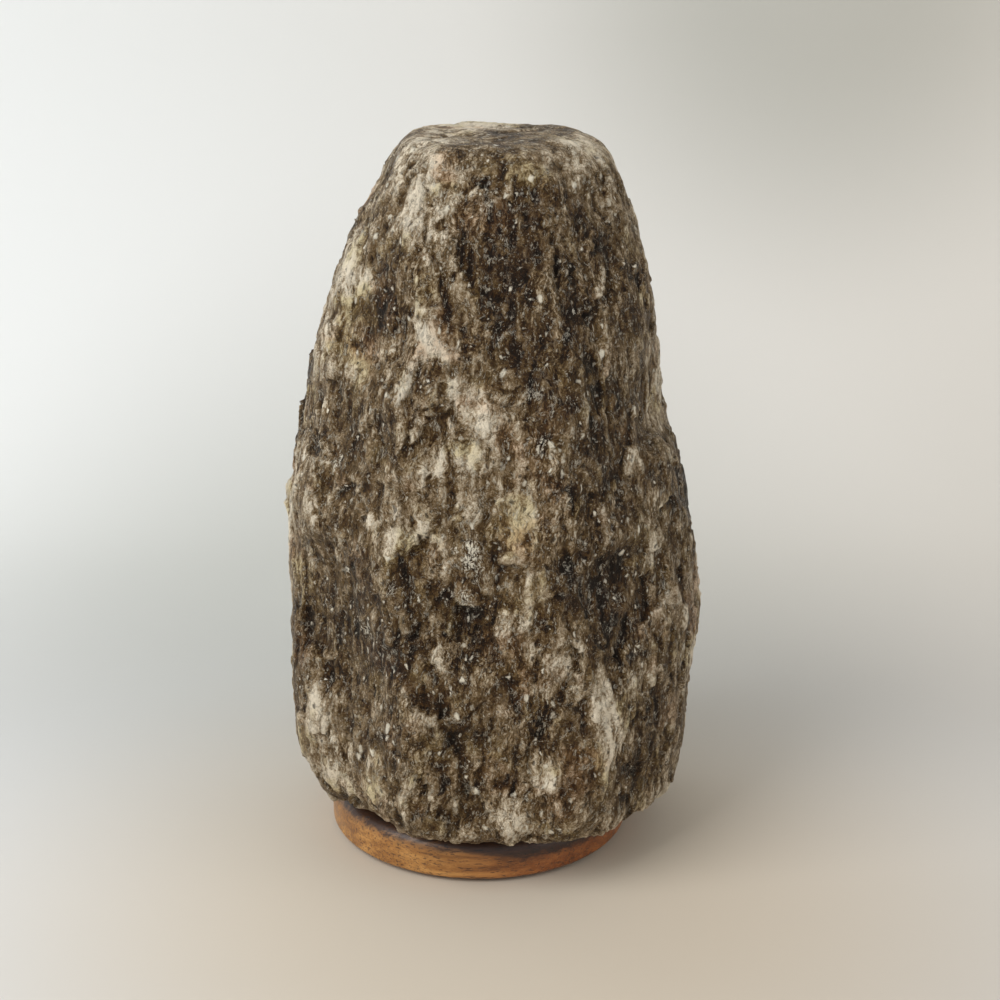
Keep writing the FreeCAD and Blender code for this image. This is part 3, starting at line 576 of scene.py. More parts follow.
def cloud(tree, vector, scale, detail=4.0, roughness=0.6):
    """Noise around one half."""
    sockets = {"Vector": vector, "Scale": scale, "Detail": detail, "Roughness": roughness}
    return put(tree, "ShaderNodeTexNoise", sockets).outputs


def placed(tree, vector, scale=(1, 1, 1), turn=(0, 0, 0), move=(0, 0, 0)):
    """A vector turned, moved and scaled by a Mapping node."""
    sockets = {"Vector": vector, "Scale": scale, "Rotation": turn, "Location": move}
    return put(tree, "ShaderNodeMapping", sockets).outputs["Vector"]


def warped(tree, vector, scale, reach):
    """A vector pushed about by noise."""
    wander = centred(tree, cloud(tree, vector, scale, 3.0, 0.55)["Color"])
    return reckon(tree, "MULTIPLY_ADD", wander, reach, vector)


def facet_slopes(tree, vector, scale, steepness):
    """Small flat facets that each lean their own way."""
    cells = put(tree, "ShaderNodeTexVoronoi", {"Vector": vector, "Scale": scale}).outputs
    away = reckon(tree, "SUBTRACT", vector, cells["Position"])
    lean = centred(tree, cells["Color"])
    slope = reckon(tree, "DOT_PRODUCT", away, lean, output="Value")
    return calc(tree, "MULTIPLY", slope, steepness)


def new_group(name, inputs, outputs):
    """An empty shader node group with its sockets."""
    tree = bpy.data.node_groups.new(name, "ShaderNodeTree")
    for label, kind, value in inputs:
        socket = tree.interface.new_socket(name=label, in_out="INPUT", socket_type=kind)
        if value is not None:
            socket.default_value = value
    for label, kind in outputs:
        tree.interface.new_socket(name=label, in_out="OUTPUT", socket_type=kind)
    return tree, tree.nodes.new("NodeGroupInput").outputs, tree.nodes.new("NodeGroupOutput")


def use_group(tree, name, **sockets):
    """A group placed in a material, with its own values."""
    made = tree.nodes.new("ShaderNodeGroup")
    made.node_tree = bpy.data.node_groups[name]
    for key, value in sockets.items():
        socket = made.inputs[key]
        if isinstance(value, bpy.types.NodeSocket):
            tree.links.new(value, socket)
        else:
            socket.default_value = value
    return made.outputs


NUMBER = "NodeSocketFloat"
VECTOR = "NodeSocketVector"


def make_fibre_group():
    """Long thin streaks: noise that is squeezed across and drawn out along Z."""
    tree, given, result = new_group(
        "Fibres",
        [("Vector", VECTOR, None), ("Spacing", NUMBER, 1.0), ("Length", NUMBER, 8.0)],
        [("Value", NUMBER), ("Lines", NUMBER)],
    )
    across = calc(tree, "DIVIDE", 1.0, given["Spacing"])
    along = calc(tree, "DIVIDE", 1.0, given["Length"])
    scale = put(tree, "ShaderNodeCombineXYZ", {"X": across, "Y": across, "Z": along}).outputs[0]
    drawn = reckon(tree, "MULTIPLY", given["Vector"], scale)
    value = cloud(tree, drawn, 1.0, 5.0, 0.62)["Fac"]
    off_middle = calc(tree, "ABSOLUTE", calc(tree, "SUBTRACT", value, 0.5))
    lines = band(tree, off_middle, 0.0, 0.028, 1.0, 0.0)
    tree.links.new(value, result.inputs["Value"])
    tree.links.new(lines, result.inputs["Lines"])


def make_fleck_group():
    """Small ragged flecks, each with its own size, scattered over a share of the cells."""
    tree, given, result = new_group(
        "Flecks",
        [
            ("Vector", VECTOR, None),
            ("Spacing", NUMBER, 3.0),
            ("Share", NUMBER, 0.3),
            ("Size", NUMBER, 0.25),
        ],
        [("Mask", NUMBER)],
    )
    ragged = centred(tree, cloud(tree, given["Vector"], 1.9, 3.0, 0.6)["Color"])
    moved = reckon(tree, "MULTIPLY_ADD", ragged, (1.1, 1.1, 1.1), given["Vector"])
    scale = calc(tree, "DIVIDE", 1.0, given["Spacing"])
    cells = put(tree, "ShaderNodeTexVoronoi", {"Vector": moved, "Scale": scale}).outputs
    lot = put(tree, "ShaderNodeSeparateColor", {"Color": cells["Color"]}).outputs
    chosen = calc(tree, "LESS_THAN", lot["Red"], given["Share"])
    size = calc(tree, "MULTIPLY", given["Size"], calc(tree, "ADD", 0.35, lot["Green"]))
    inner = calc(tree, "MULTIPLY", size, 0.55)
    made = put(
        tree,
        "ShaderNodeMapRange",
        {
            "Value": cells["Distance"],
            "From Min": inner,
            "From Max": size,
            "To Min": 1.0,
            "To Max": 0.0,
        },
    )
    mask = calc(tree, "MULTIPLY", made.outputs["Result"], chosen)
    tree.links.new(mask, result.inputs["Mask"])


def make_wear_group():
    """Uneven handling: soft blotches, and fine scratches that cross."""
    tree, given, result = new_group(
        "Handling",
        [("Vector", VECTOR, None), ("Size", NUMBER, 6.0)],
        [("Blotches", NUMBER), ("Scratches", NUMBER)],
    )
    scale = calc(tree, "DIVIDE", 1.0, given["Size"])
    blotches = cloud(tree, given["Vector"], scale, 5.0, 0.65)["Fac"]
    one_way = placed(tree, given["Vector"], (0.25, 3.0, 3.0), (0.3, 0.2, 0.7))
    other_way = placed(tree, given["Vector"], (3.4, 0.3, 3.0), (0.1, 0.5, -0.4))
    first = band(tree, cloud(tree, one_way, 1.3, 2.0)["Fac"], 0.62, 0.70)
    second = band(tree, cloud(tree, other_way, 1.1, 2.0)["Fac"], 0.64, 0.72)
    scratches = calc(tree, "MAXIMUM", first, second)
    tree.links.new(blotches, result.inputs["Blotches"])
    tree.links.new(scratches, result.inputs["Scratches"])


def new_material(name, **constants):
    """A material with a Principled shader, and its object coordinates in mm."""
    material = bpy.data.materials.new(name)
    material.use_nodes = True
    tree = material.node_tree
    tree.nodes.clear()
    output = tree.nodes.new("ShaderNodeOutputMaterial")
    shader = tree.nodes.new("ShaderNodeBsdfPrincipled")
    tree.links.new(shader.outputs["BSDF"], output.inputs["Surface"])
    for key, value in constants.items():
        shader.inputs[key.replace("_", " ")].default_value = value
    place = tree.nodes.new("ShaderNodeTexCoord").outputs["Object"]
    return material, tree, shader, reckon(tree, "MULTIPLY", place, (1000.0, 1000.0, 1000.0))


def finish_of(tree, shader, base, rough, height=None, depth=0.1, strength=0.5):
    """Links colour, roughness and a bump to the shader."""
    tree.links.new(base, shader.inputs["Base Color"])
    tree.links.new(rough, shader.inputs["Roughness"])
    if height is not None:
        bump = put(
            tree,
            "ShaderNodeBump",
            {"Height": height, "Distance": depth * MM, "Strength": strength},
        )
        tree.links.new(bump.outputs["Normal"], shader.inputs["Normal"])


# ---- the finishes -------------------------------------------------------------------------------
def salt_finish(settings):
    """Smoky rock salt with milky clouds, fibres, grains and white flecks, with painted glints,
    painted highlight on ridges and painted shade in hollows, pits and cracks.
    """
    material, tree, shader, place = new_material(
        "rough_grey_salt",
        IOR=1.54,
        Specular_IOR_Level=0.14,
        Coat_Roughness=0.16,
        Coat_IOR=1.6,
        Sheen_Weight=0.09,
        Sheen_Roughness=0.30,
    )
    shader.inputs["Sheen Tint"].default_value = (0.80, 0.76, 0.60, 1.0)

    def painted(name):
        return put(tree, "ShaderNodeAttribute", attribute_name=name).outputs["Fac"]

    leaning = placed(tree, place, turn=(0.0, math.radians(-5.0), 0.0))
    bent = warped(tree, leaning, 0.11, (5.0, 5.0, 7.0))
    bent = warped(tree, bent, 0.5, (1.3, 1.3, 2.0))
    wide = use_group(tree, "Fibres", Vector=bent, Spacing=2.7, Length=11.0)
    fine = use_group(tree, "Fibres", Vector=bent, Spacing=0.80, Length=3.2)
    grainy = placed(tree, bent, (1.0, 1.0, 0.62))
    grains = put(tree, "ShaderNodeTexVoronoi", {"Vector": grainy, "Scale": 0.50}).outputs
    grain_lot = put(tree, "ShaderNodeSeparateColor", {"Color": grains["Color"]}).outputs["Red"]
    crumbs = cloud(tree, bent, 1.3, 5.0, 0.75)["Fac"]

    fibrous = band(tree, cloud(tree, bent, 0.045, 2.0)["Fac"], 0.38, 0.62, 0.4, 1.9)
    haze = cloud(tree, placed(tree, bent, (1.0, 1.0, 0.6)), 0.17, 2.0, 0.45)["Fac"]

    total = painted("milk")
    for value, weight, centre in (
        (wide["Value"], 0.62, 0.5),
        (haze, 1.05, 0.5),
        (calc(tree, "MULTIPLY", calc(tree, "SUBTRACT", fine["Value"], 0.5), fibrous), 1.0, 0.0),
        (grain_lot, 0.24, 0.5),
        (crumbs, 1.7, 0.5),
        # The relief: painted highlight on raised edges, partly also whiter broken salt, and
        # painted shade in hollows.
        (painted("relief"), 0.30, 0.0),
        (painted("tone"), 0.13, 0.0),
    ):
        away = calc(tree, "SUBTRACT", value, centre)
        total = calc(tree, "MULTIPLY_ADD", away, weight, total)
    salt = ramp(
        tree,
        calc(tree, "MULTIPLY_ADD", total, 0.80, 0.150),
        [
            (0.04, srgb(22, 9, 1)),
            (0.22, srgb(58, 36, 13)),
            (0.38, srgb(87, 65, 35)),
            (0.53, srgb(119, 97, 67)),
            (0.67, srgb(160, 140, 112)),
            (0.96, srgb(238, 224, 200)),
        ],
    )
    olive = band(tree, cloud(tree, bent, 0.062, 2.0)["Fac"], 0.50, 0.68, 0.0, 0.55)
    salt = blend_colours(tree, olive, salt, tint(222, 214, 160), "MULTIPLY")
    rusty = cloud(tree, placed(tree, bent, move=(40, 9, 3)), 0.05, 2.0)["Fac"]
    rusty = band(tree, rusty, 0.54, 0.70, 0.0, 0.5)
    salt = blend_colours(tree, rusty, salt, tint(230, 196, 168), "MULTIPLY")

    # Painted glints: the big, small and finest bright specks stand for light caught by tiny facets
    # of the salt.
    big = use_group(tree, "Flecks", Vector=grainy, Spacing=4.6, Share=0.26, Size=0.21)["Mask"]
    small = use_group(tree, "Flecks", Vector=grainy, Spacing=2.0, Share=0.34, Size=0.27)["Mask"]
    dust_and_glints = use_group(tree, "Flecks", Vector=bent, Spacing=1.15, Share=0.30, Size=0.32)["Mask"]
    patches = band(tree, cloud(tree, bent, 0.12, 2.0)["Fac"], 0.40, 0.58)
    small = calc(tree, "MULTIPLY", small, patches)
    # Thin bright lines, partly white veins in the salt and partly painted highlight along ridge
    # edges.
    veins = calc(tree, "MULTIPLY", fine["Lines"], band(tree, wide["Value"], 0.50, 0.62, 0.0, 0.28))
    broken = band(tree, cloud(tree, bent, 0.35, 3.0)["Fac"], 0.50, 0.60)
    seams = calc(tree, "MULTIPLY", wide["Lines"], broken)
    veins = calc(tree, "MAXIMUM", veins, calc(tree, "MULTIPLY", seams, 0.75))
    flakes = calc(tree, "MULTIPLY", painted("flakes"), 0.60)
    flakes = calc(tree, "MULTIPLY_ADD", calc(tree, "SUBTRACT", crumbs, 0.5), 3.4, flakes)
    flakes = calc(tree, "MULTIPLY_ADD", calc(tree, "SUBTRACT", fine["Value"], 0.5), 2.0, flakes)
    flakes = band(tree, flakes, 0.46, 0.72)
    small = calc(tree, "MAXIMUM", small, calc(tree, "MULTIPLY", dust_and_glints, 0.34))
    white = calc(tree, "MAXIMUM", calc(tree, "MAXIMUM", big, small), flakes)
    white = calc(tree, "MAXIMUM", white, veins, clamp=True)
    share = calc(tree, "MULTIPLY", white, 0.92)
    salt = blend_colours(tree, share, salt, tint(236, 226, 204))

    # Dark pits and cracks: painted shade in the pits and a painted shadow line along the cracks.
    aside = placed(tree, grainy, move=(7, 3, 5))
    pits = use_group(tree, "Flecks", Vector=aside, Spacing=2.1, Share=0.42, Size=0.28)["Mask"]
    cracks = calc(tree, "MULTIPLY", fine["Lines"], band(tree, wide["Value"], 0.50, 0.40, 0.0, 0.9))
    pits = calc(tree, "MAXIMUM", pits, cracks)
    salt = blend_colours(tree, calc(tree, "MULTIPLY", pits, 0.72), salt, tint(26, 15, 6))

    height = facet_slopes(tree, grainy, 0.50, 0.55)
    for value, weight in (
        (wide["Value"], 0.4),
        (fine["Value"], 0.5),
        (crumbs, 0.7),
        (seams, 0.25),
        (white, 0.22),
        (pits, -0.35),
    ):
        height = calc(tree, "MULTIPLY_ADD", value, weight, height)
    rough = band(tree, crumbs, 0.35, 0.65, 0.34, 0.60)
    rough = calc(tree, "MULTIPLY_ADD", white, -0.14, rough)
    tree.links.new(band(tree, white, 0.2, 0.9, 0.0, 0.6), shader.inputs["Coat Weight"])
    finish_of(tree, shader, salt, rough, height, settings.bump_depth, 1.0)
    return material


def wood_finish(settings):
    """Stained, satin wood with its grain along X and short dark pores, painted shade towards its
    right side, and the rock's painted shadow along its top edge.
    """
    material, tree, shader, place = new_material(
        "stained_turned_wood", IOR=1.5, Coat_Weight=0.35, Coat_Roughness=0.28
    )
    wander = cloud(tree, placed(tree, place, (0.2, 1.0, 1.0)), 0.05, 3.0)["Color"]
    bent = reckon(tree, "MULTIPLY_ADD", wander, (0.0, 7.0, 5.0), place)
    drawn = placed(tree, bent, (0.055, 0.8, 0.8))
    figure = cloud(tree, drawn, 0.55, 5.0, 0.6)["Fac"]
    rings = cloud(tree, placed(tree, bent, (0.02, 0.35, 0.35)), 0.6, 3.0)["Fac"]
    pores = cloud(tree, placed(tree, bent, (0.16, 1.5, 1.5)), 1.0, 2.0, 0.7)["Fac"]
    pores = band(tree, pores, 0.54, 0.64)
    dust_and_glints = cloud(tree, placed(tree, bent, (0.5, 2.2, 2.2)), 1.2, 3.0, 0.7)["Fac"]
    tone = calc(tree, "MULTIPLY_ADD", rings, 0.6, calc(tree, "MULTIPLY", figure, 0.6))
    stained = ramp(
        tree,
        tone,
        [
            (0.36, colour(settings.dark_stain)),
            (0.56, colour(settings.middle_stain)),
            (0.78, colour(settings.light_stain)),
        ],
    )
    parts = put(tree, "ShaderNodeSeparateXYZ", {"Vector": place}).outputs
    # Painted shade: the base turns darker and redder towards its right side, away from the light.
    shade_to_right = band(tree, parts["X"], -22.0, 30.0, 0.0, 0.9)
    stained = blend_colours(tree, shade_to_right, stained, colour(settings.right_side_shade), "MULTIPLY")
    stained = blend_colours(
        tree, calc(tree, "MULTIPLY", pores, 0.80), stained, tint(64, 32, 10)
    )
    stained = blend_colours(
        tree, band(tree, dust_and_glints, 0.5, 0.75, 0.0, 0.35), stained, tint(214, 150, 78)
    )
    # Painted shadow of the overhanging rock: darker near the top of the base, reaching lower at
    # the right, with a ragged edge.
    shadow_edge = calc(tree, "MULTIPLY_ADD", calc(tree, "SUBTRACT", figure, 0.5), 9.0, parts["Z"])
    shadow_edge = calc(tree, "ADD", shadow_edge, band(tree, parts["X"], -12.0, 16.0, 0.0, 4.2))
    painted_shadow = band(tree, shadow_edge, 11.0, 14.6, 0.0, 0.95)
    stained = blend_colours(tree, painted_shadow, stained, tint(70, 42, 28), "MULTIPLY")
    height = calc(tree, "MULTIPLY_ADD", pores, -0.5, calc(tree, "MULTIPLY", figure, 0.5))
    rough = band(tree, figure, 0.3, 0.7, 0.38, 0.58)
    finish_of(tree, shader, stained, rough, height, 0.25, 0.6)
    return material


def metal_finish(name, base, dark, rough, size=4.0, streaks=0.0):
    """Metal with blotches, scratches and, if it is turned or drawn, fine streaks."""
    material, tree, shader, place = new_material(name, Metallic=1.0)
    wear = use_group(tree, "Handling", Vector=place, Size=size)
    share = band(tree, wear["Blotches"], 0.35, 0.68)
    shade = blend_colours(tree, share, tint(*dark), tint(*base))
    roughness = band(tree, wear["Blotches"], 0.3, 0.7, rough + 0.12, rough - 0.05)
    roughness = calc(tree, "MULTIPLY_ADD", wear["Scratches"], 0.12, roughness)
    height = calc(tree, "MULTIPLY", wear["Scratches"], -0.4)
    if streaks:
        turned = cloud(tree, placed(tree, place, (0.15, 0.15, 9.0)), 1.0, 3.0)["Fac"]
        height = calc(tree, "MULTIPLY_ADD", turned, streaks, height)
    finish_of(tree, shader, shade, roughness, height, 0.05, 0.5)
    return material


def moulded_finish(name, base, light, rough, grain=0.9, depth=0.05):
    """Moulded plastic, rubber or ceramic: a fine skin, soft colour drift and handling marks."""
    material, tree, shader, place = new_material(name, IOR=1.5)
    wear = use_group(tree, "Handling", Vector=place, Size=7.0)
    share = band(tree, wear["Blotches"], 0.35, 0.7)
    shade = blend_colours(tree, share, tint(*base), tint(*light))
    skin = cloud(tree, place, grain * 6.0, 3.0)["Fac"]
    roughness = band(tree, wear["Blotches"], 0.3, 0.7, rough, rough + 0.12)
    roughness = calc(tree, "MULTIPLY_ADD", wear["Scratches"], 0.08, roughness)
    height = calc(tree, "MULTIPLY_ADD", wear["Scratches"], -0.3, skin)
    finish_of(tree, shader, shade, roughness, height, depth, 0.6)
    return material


def glass_finish(name, body, rough):
    """Blown or pressed glass, with faint waves in its skin."""
    material, tree, shader, place = new_material(
        name, Transmission_Weight=1.0, IOR=1.5, Metallic=0.0
    )
    waves = cloud(tree, place, 0.12, 2.0)["Fac"]
    shade = blend_colours(tree, waves, colour(body), (1.0, 1.0, 1.0, 1.0))
    roughness = band(tree, waves, 0.3, 0.7, rough, rough + 0.02)
    finish_of(tree, shader, shade, roughness, waves, 0.15, 0.25)
    return material


def floor_finish(settings):
    """Pale paper with painted shade to the right and behind the lamp and a painted pool of bounced
    light in front of it, clear when it is seen from beneath.
    """
    material, tree, shader, place = new_material("pale_paper", Specular_IOR_Level=0.2)
    parts = put(tree, "ShaderNodeSeparateXYZ", {"Vector": place}).outputs
    # Painted shade: the paper darkens towards the right, away from the light.
    to_right = band(tree, parts["X"], -420.0, 420.0)
    shade = blend_colours(
        tree, to_right, colour(settings.left_paper), colour(settings.right_paper)
    )
    near = band(tree, parts["Y"], 60.0, 340.0, 1.0, 0.0)
    shade = blend_colours(tree, near, shade, colour(settings.near_paper), "MULTIPLY")
    # Painted light on the paper: a warm pool of light bounced from the lamp onto the paper in
    # front of it, and painted shade behind it and on the wall behind to the right.
    for middle, inner, outer, wash in (
        ((10.0, -80.0, 0.0), 50.0, 250.0, settings.painted_bounce),
        ((-50.0, 220.0, 20.0), 60.0, 320.0, settings.dim_paper),
        ((185.0, 500.0, 270.0), 40.0, 220.0, settings.dim_paper),
    ):
        away = reckon(tree, "DISTANCE", place, middle, output="Value")
        pool = band(tree, away, inner, outer, 1.0, 0.0)
        shade = blend_colours(tree, pool, shade, colour(wash), "MULTIPLY")
    fibres = cloud(tree, place, 0.5, 4.0, 0.7)["Fac"]
    rough = band(tree, fibres, 0.3, 0.7, 0.75, 0.9)
    finish_of(tree, shader, shade, rough, fibres, 0.05, 0.2)
    output = next(n for n in tree.nodes if n.bl_idname == "ShaderNodeOutputMaterial")
    clear = tree.nodes.new("ShaderNodeBsdfTransparent")
    behind = tree.nodes.new("ShaderNodeNewGeometry").outputs["Backfacing"]
    mixed = tree.nodes.new("ShaderNodeMixShader")
    tree.links.new(behind, mixed.inputs[0])
    tree.links.new(shader.outputs["BSDF"], mixed.inputs[1])
    tree.links.new(clear.outputs["BSDF"], mixed.inputs[2])
    tree.links.new(mixed.outputs[0], output.inputs["Surface"])
    return material


def dress(material, *nodes):
    """Gives CAD nodes a finish."""
    for name in nodes:
        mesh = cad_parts[name].data
        mesh.materials.clear()
        mesh.materials.append(material)


# ---- what a user may change ---------------------------------------------------------------------
class RockSettings(bpy.types.PropertyGroup):
    """Sizes and depths of the rock."""

    mesh_size: bpy.props.FloatProperty(
        name="Mesh size", description="Size of the rock's faces", default=0.00133, unit="LENGTH"
    )
    lump_depth: bpy.props.FloatProperty(
        name="Lumps", description="Depth of the broad lumps", default=0.0012, unit="LENGTH"
    )
    facet_depth: bpy.props.FloatProperty(
        name="Facets", description="Depth of the broken facets", default=0.0007, unit="LENGTH"
    )
    groove_depth: bpy.props.FloatProperty(
        name="Grooves", description="Depth of the upright grooves", default=0.0004, unit="LENGTH"
    )
    chip_depth: bpy.props.FloatProperty(
        name="Chips", description="Depth of the small chips", default=0.0005, unit="LENGTH"
    )
    grit_depth: bpy.props.FloatProperty(
        name="Grit", description="Depth of the grit", default=0.0003, unit="LENGTH"
    )
    bump_depth: bpy.props.FloatProperty(
        name="Fine relief", description="Depth of the finest relief in mm", default=0.9
    )
    milk_level: bpy.props.FloatProperty(
        name="Milkiness",
        description="How milky the salt is all over",
        default=0.40,
        subtype="FACTOR",
    )
    milk_depth: bpy.props.FloatProperty(
        name="Clouds",
        description="How strong the milky clouds are",
        default=0.54,
        subtype="FACTOR",
    )
    smoke_depth: bpy.props.FloatProperty(
        name="Smoke", description="How dark the smoky salt is", default=0.34, subtype="FACTOR"
    )


class WoodSettings(bpy.types.PropertyGroup):
    """Colours of the stained base, and of the painted shade on its right side."""

    dark_stain: bpy.props.FloatVectorProperty(
        name="Dark stain",
        description="Stain in the dark grain",
        default=srgb(104, 60, 20),
        subtype="COLOR",
    )
    middle_stain: bpy.props.FloatVectorProperty(
        name="Middle stain",
        description="Stain between",
        default=srgb(160, 108, 50),
        subtype="COLOR",
    )
    light_stain: bpy.props.FloatVectorProperty(
        name="Light stain",
        description="Stain in the light grain",
        default=srgb(206, 152, 84),
        subtype="COLOR",
    )
    # The colour of the painted shade on the base's right side.
    right_side_shade: bpy.props.FloatVectorProperty(
        name="Right side shade",
        description="Redder tone to the right",
        default=srgb(206, 158, 118),
        subtype="COLOR",
    )


class StageSettings(bpy.types.PropertyGroup):
    """Camera, paper and lamps."""

    left_paper: bpy.props.FloatVectorProperty(
        name="Left paper",
        description="Colour of the paper at the left",
        default=(0.86, 0.87, 0.86),
        subtype="COLOR",
    )
    right_paper: bpy.props.FloatVectorProperty(
        name="Right paper",
        description="Colour of the paper at the right",
        default=(0.76, 0.72, 0.66),
        subtype="COLOR",
    )
    near_paper: bpy.props.FloatVectorProperty(
        name="Near paper",
        description="Warmth of the paper in front",
        default=(0.87, 0.87, 0.88),
        subtype="COLOR",
    )
    # The colour of the painted pool of warm light bounced from the lamp onto the paper.
    painted_bounce: bpy.props.FloatVectorProperty(
        name="Paper round the lamp",
        description="Warmth that the lamp gives to the paper",
        default=(0.92, 0.82, 0.69),
        subtype="COLOR",
    )
    dim_paper: bpy.props.FloatVectorProperty(
        name="Dim paper",
        description="Shade on the paper behind",
        default=(0.72, 0.73, 0.71),
        subtype="COLOR",
    )
    wall_place: bpy.props.FloatProperty(
        name="Wall place",
        description="How far behind the lamp the paper rises",
        default=0.50,
        unit="LENGTH",
    )
    bend_size: bpy.props.FloatProperty(
        name="Bend", description="Radius of the paper's bend", default=0.24, unit="LENGTH"
    )
    room_light: bpy.props.FloatProperty(
        name="Room light", description="Strength of the light from all sides", default=0.50
    )
    window_power: bpy.props.FloatProperty(
        name="Window lamp",
        description="Power of the large lamp at the upper left",
        default=17.0,
        unit="POWER",
    )
    fill_power: bpy.props.FloatProperty(
        name="Fill lamp", description="Power of the lamp at the right", default=3.2, unit="POWER"
    )
    camera_place: bpy.props.FloatVectorProperty(
        name="Camera place",
        description="Where the camera stands",
        default=(0.00704, -0.6787, 0.3596),
        subtype="TRANSLATION",
    )
    camera_dip: bpy.props.FloatProperty(
        name="Camera dip",
        description="How far the camera looks down",
        default=math.radians(19.10),
        unit="ROTATION",
    )
    camera_roll: bpy.props.FloatProperty(
        name="Camera roll",
        description="How far the camera leans",
        default=math.radians(0.39),
        unit="ROTATION",
    )
    lens: bpy.props.FloatProperty(
        name="Lens", description="Focal length on a 36 mm frame", default=72.0, unit="CAMERA"
    )


# ---- operators ----------------------------------------------------------------------------------
class LampOperator:
    """What the lamp's operators share."""

    bl_options = {"REGISTER", "UNDO"}


class LAMP_OT_finish_parts(LampOperator, bpy.types.Operator):
    """Make the patterns that several finishes share"""

    bl_idname = "lamp.finish_parts"
    bl_label = "Shared patterns"

    def execute(self, context):
        make_fibre_group()
        make_fleck_group()
        make_wear_group()
        return {"FINISHED"}


class LAMP_OT_salt_rock(LampOperator, bpy.types.Operator):
    """Make the rough rock of salt"""

    bl_idname = "lamp.salt_rock"
    bl_label = "Salt rock"

    def execute(self, context):
        settings = context.scene.lamp_rock
        rock = build_rock(settings)
        rock.data.materials.append(salt_finish(settings))
        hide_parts("salt_crystal")
        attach(rock, "lamp")
        return {"FINISHED"}


class LAMP_OT_wooden_base(LampOperator, bpy.types.Operator):
    """Stain the turned base, and finish its feet, screws and plugs"""

    bl_idname = "lamp.wooden_base"
    bl_label = "Wooden base"

    def execute(self, context):
        dress(wood_finish(context.scene.lamp_wood), "wooden_base")
        rubber = moulded_finish("black_rubber", (20, 20, 20), (38, 37, 35), 0.62, 0.5, 0.1)
        dress(rubber, "foot_1", "foot_2", "foot_3", "foot_4")
        dress(moulded_finish("nylon", (206, 200, 184), (222, 217, 203), 0.42), "screw_plugs")
        dress(
            metal_finish("yellow_zinc", (206, 188, 132), (168, 146, 88), 0.34, 3.0), "base_screws"
        )
        return {"FINISHED"}


class LAMP_OT_light_unit(LampOperator, bpy.types.Operator):
    """Finish the holder, its contacts, the nipple, and the spring that holds them in the base"""

    bl_idname = "lamp.light_unit"
    bl_label = "Light unit"

    def execute(self, context):
        zinc = metal_finish("white_zinc", (206, 207, 205), (166, 167, 168), 0.30, 5.0)
        dress(zinc, "retaining_plate", "lock_washer", "nipple_nut", "cap_lock_screw")
        dress(zinc, "terminal_screws")
        dress(
            metal_finish("rolled_zinc", (198, 196, 190), (150, 149, 146), 0.34, 3.0, 0.8),
            "threaded_nipple",
        )
        spring = metal_finish("spring_steel", (170, 172, 176), (120, 122, 128), 0.26, 4.0)
        dress(spring, "spring_collar")
        dress(
            moulded_finish("black_moulding", (22, 20, 19), (34, 32, 30), 0.30, 1.2, 0.03),
            "holder_cap",
            "holder_skirt",
        )
        ceramic = moulded_finish("white_ceramic", (226, 221, 208), (238, 234, 224), 0.28)
        dress(ceramic, "contact_block")
        brass = metal_finish("stamped_brass", (214, 174, 96), (160, 118, 54), 0.26, 3.0)
        dress(brass, "screw_shell", "centre_contact", "side_contact", "contact_rivets")
        dress(brass, "terminal_right", "terminal_left")
        return {"FINISHED"}


class LAMP_OT_bulb(LampOperator, bpy.types.Operator):
    """Finish the bulb, its cap and what stands inside its glass"""

    bl_idname = "lamp.bulb"
    bl_label = "Bulb"

    def execute(self, context):
        dress(glass_finish("clear_glass", (0.95, 0.98, 0.97), 0.0), "bulb_glass")
        dress(glass_finish("pressed_glass", (0.86, 0.92, 0.90), 0.04), "bulb_stem")
        cap = metal_finish("rolled_aluminium", (214, 214, 212), (176, 176, 175), 0.28, 3.0, 0.5)
        dress(cap, "bulb_cap")
        solder = metal_finish("dull_solder", (176, 176, 178), (128, 128, 132), 0.42, 1.2)
        dress(solder, "bulb_contact")
        insulator = moulded_finish("black_glass", (10, 10, 12), (20, 20, 24), 0.08, 0.6, 0.02)
        dress(insulator, "bulb_insulator")
        wire = metal_finish("drawn_wire", (176, 166, 150), (128, 118, 104), 0.32, 1.0)
        dress(wire, "bulb_lead_wires", "filament_support")
        dress(metal_finish("tungsten", (92, 92, 98), (58, 58, 62), 0.40, 0.8), "bulb_filament")
        return {"FINISHED"}


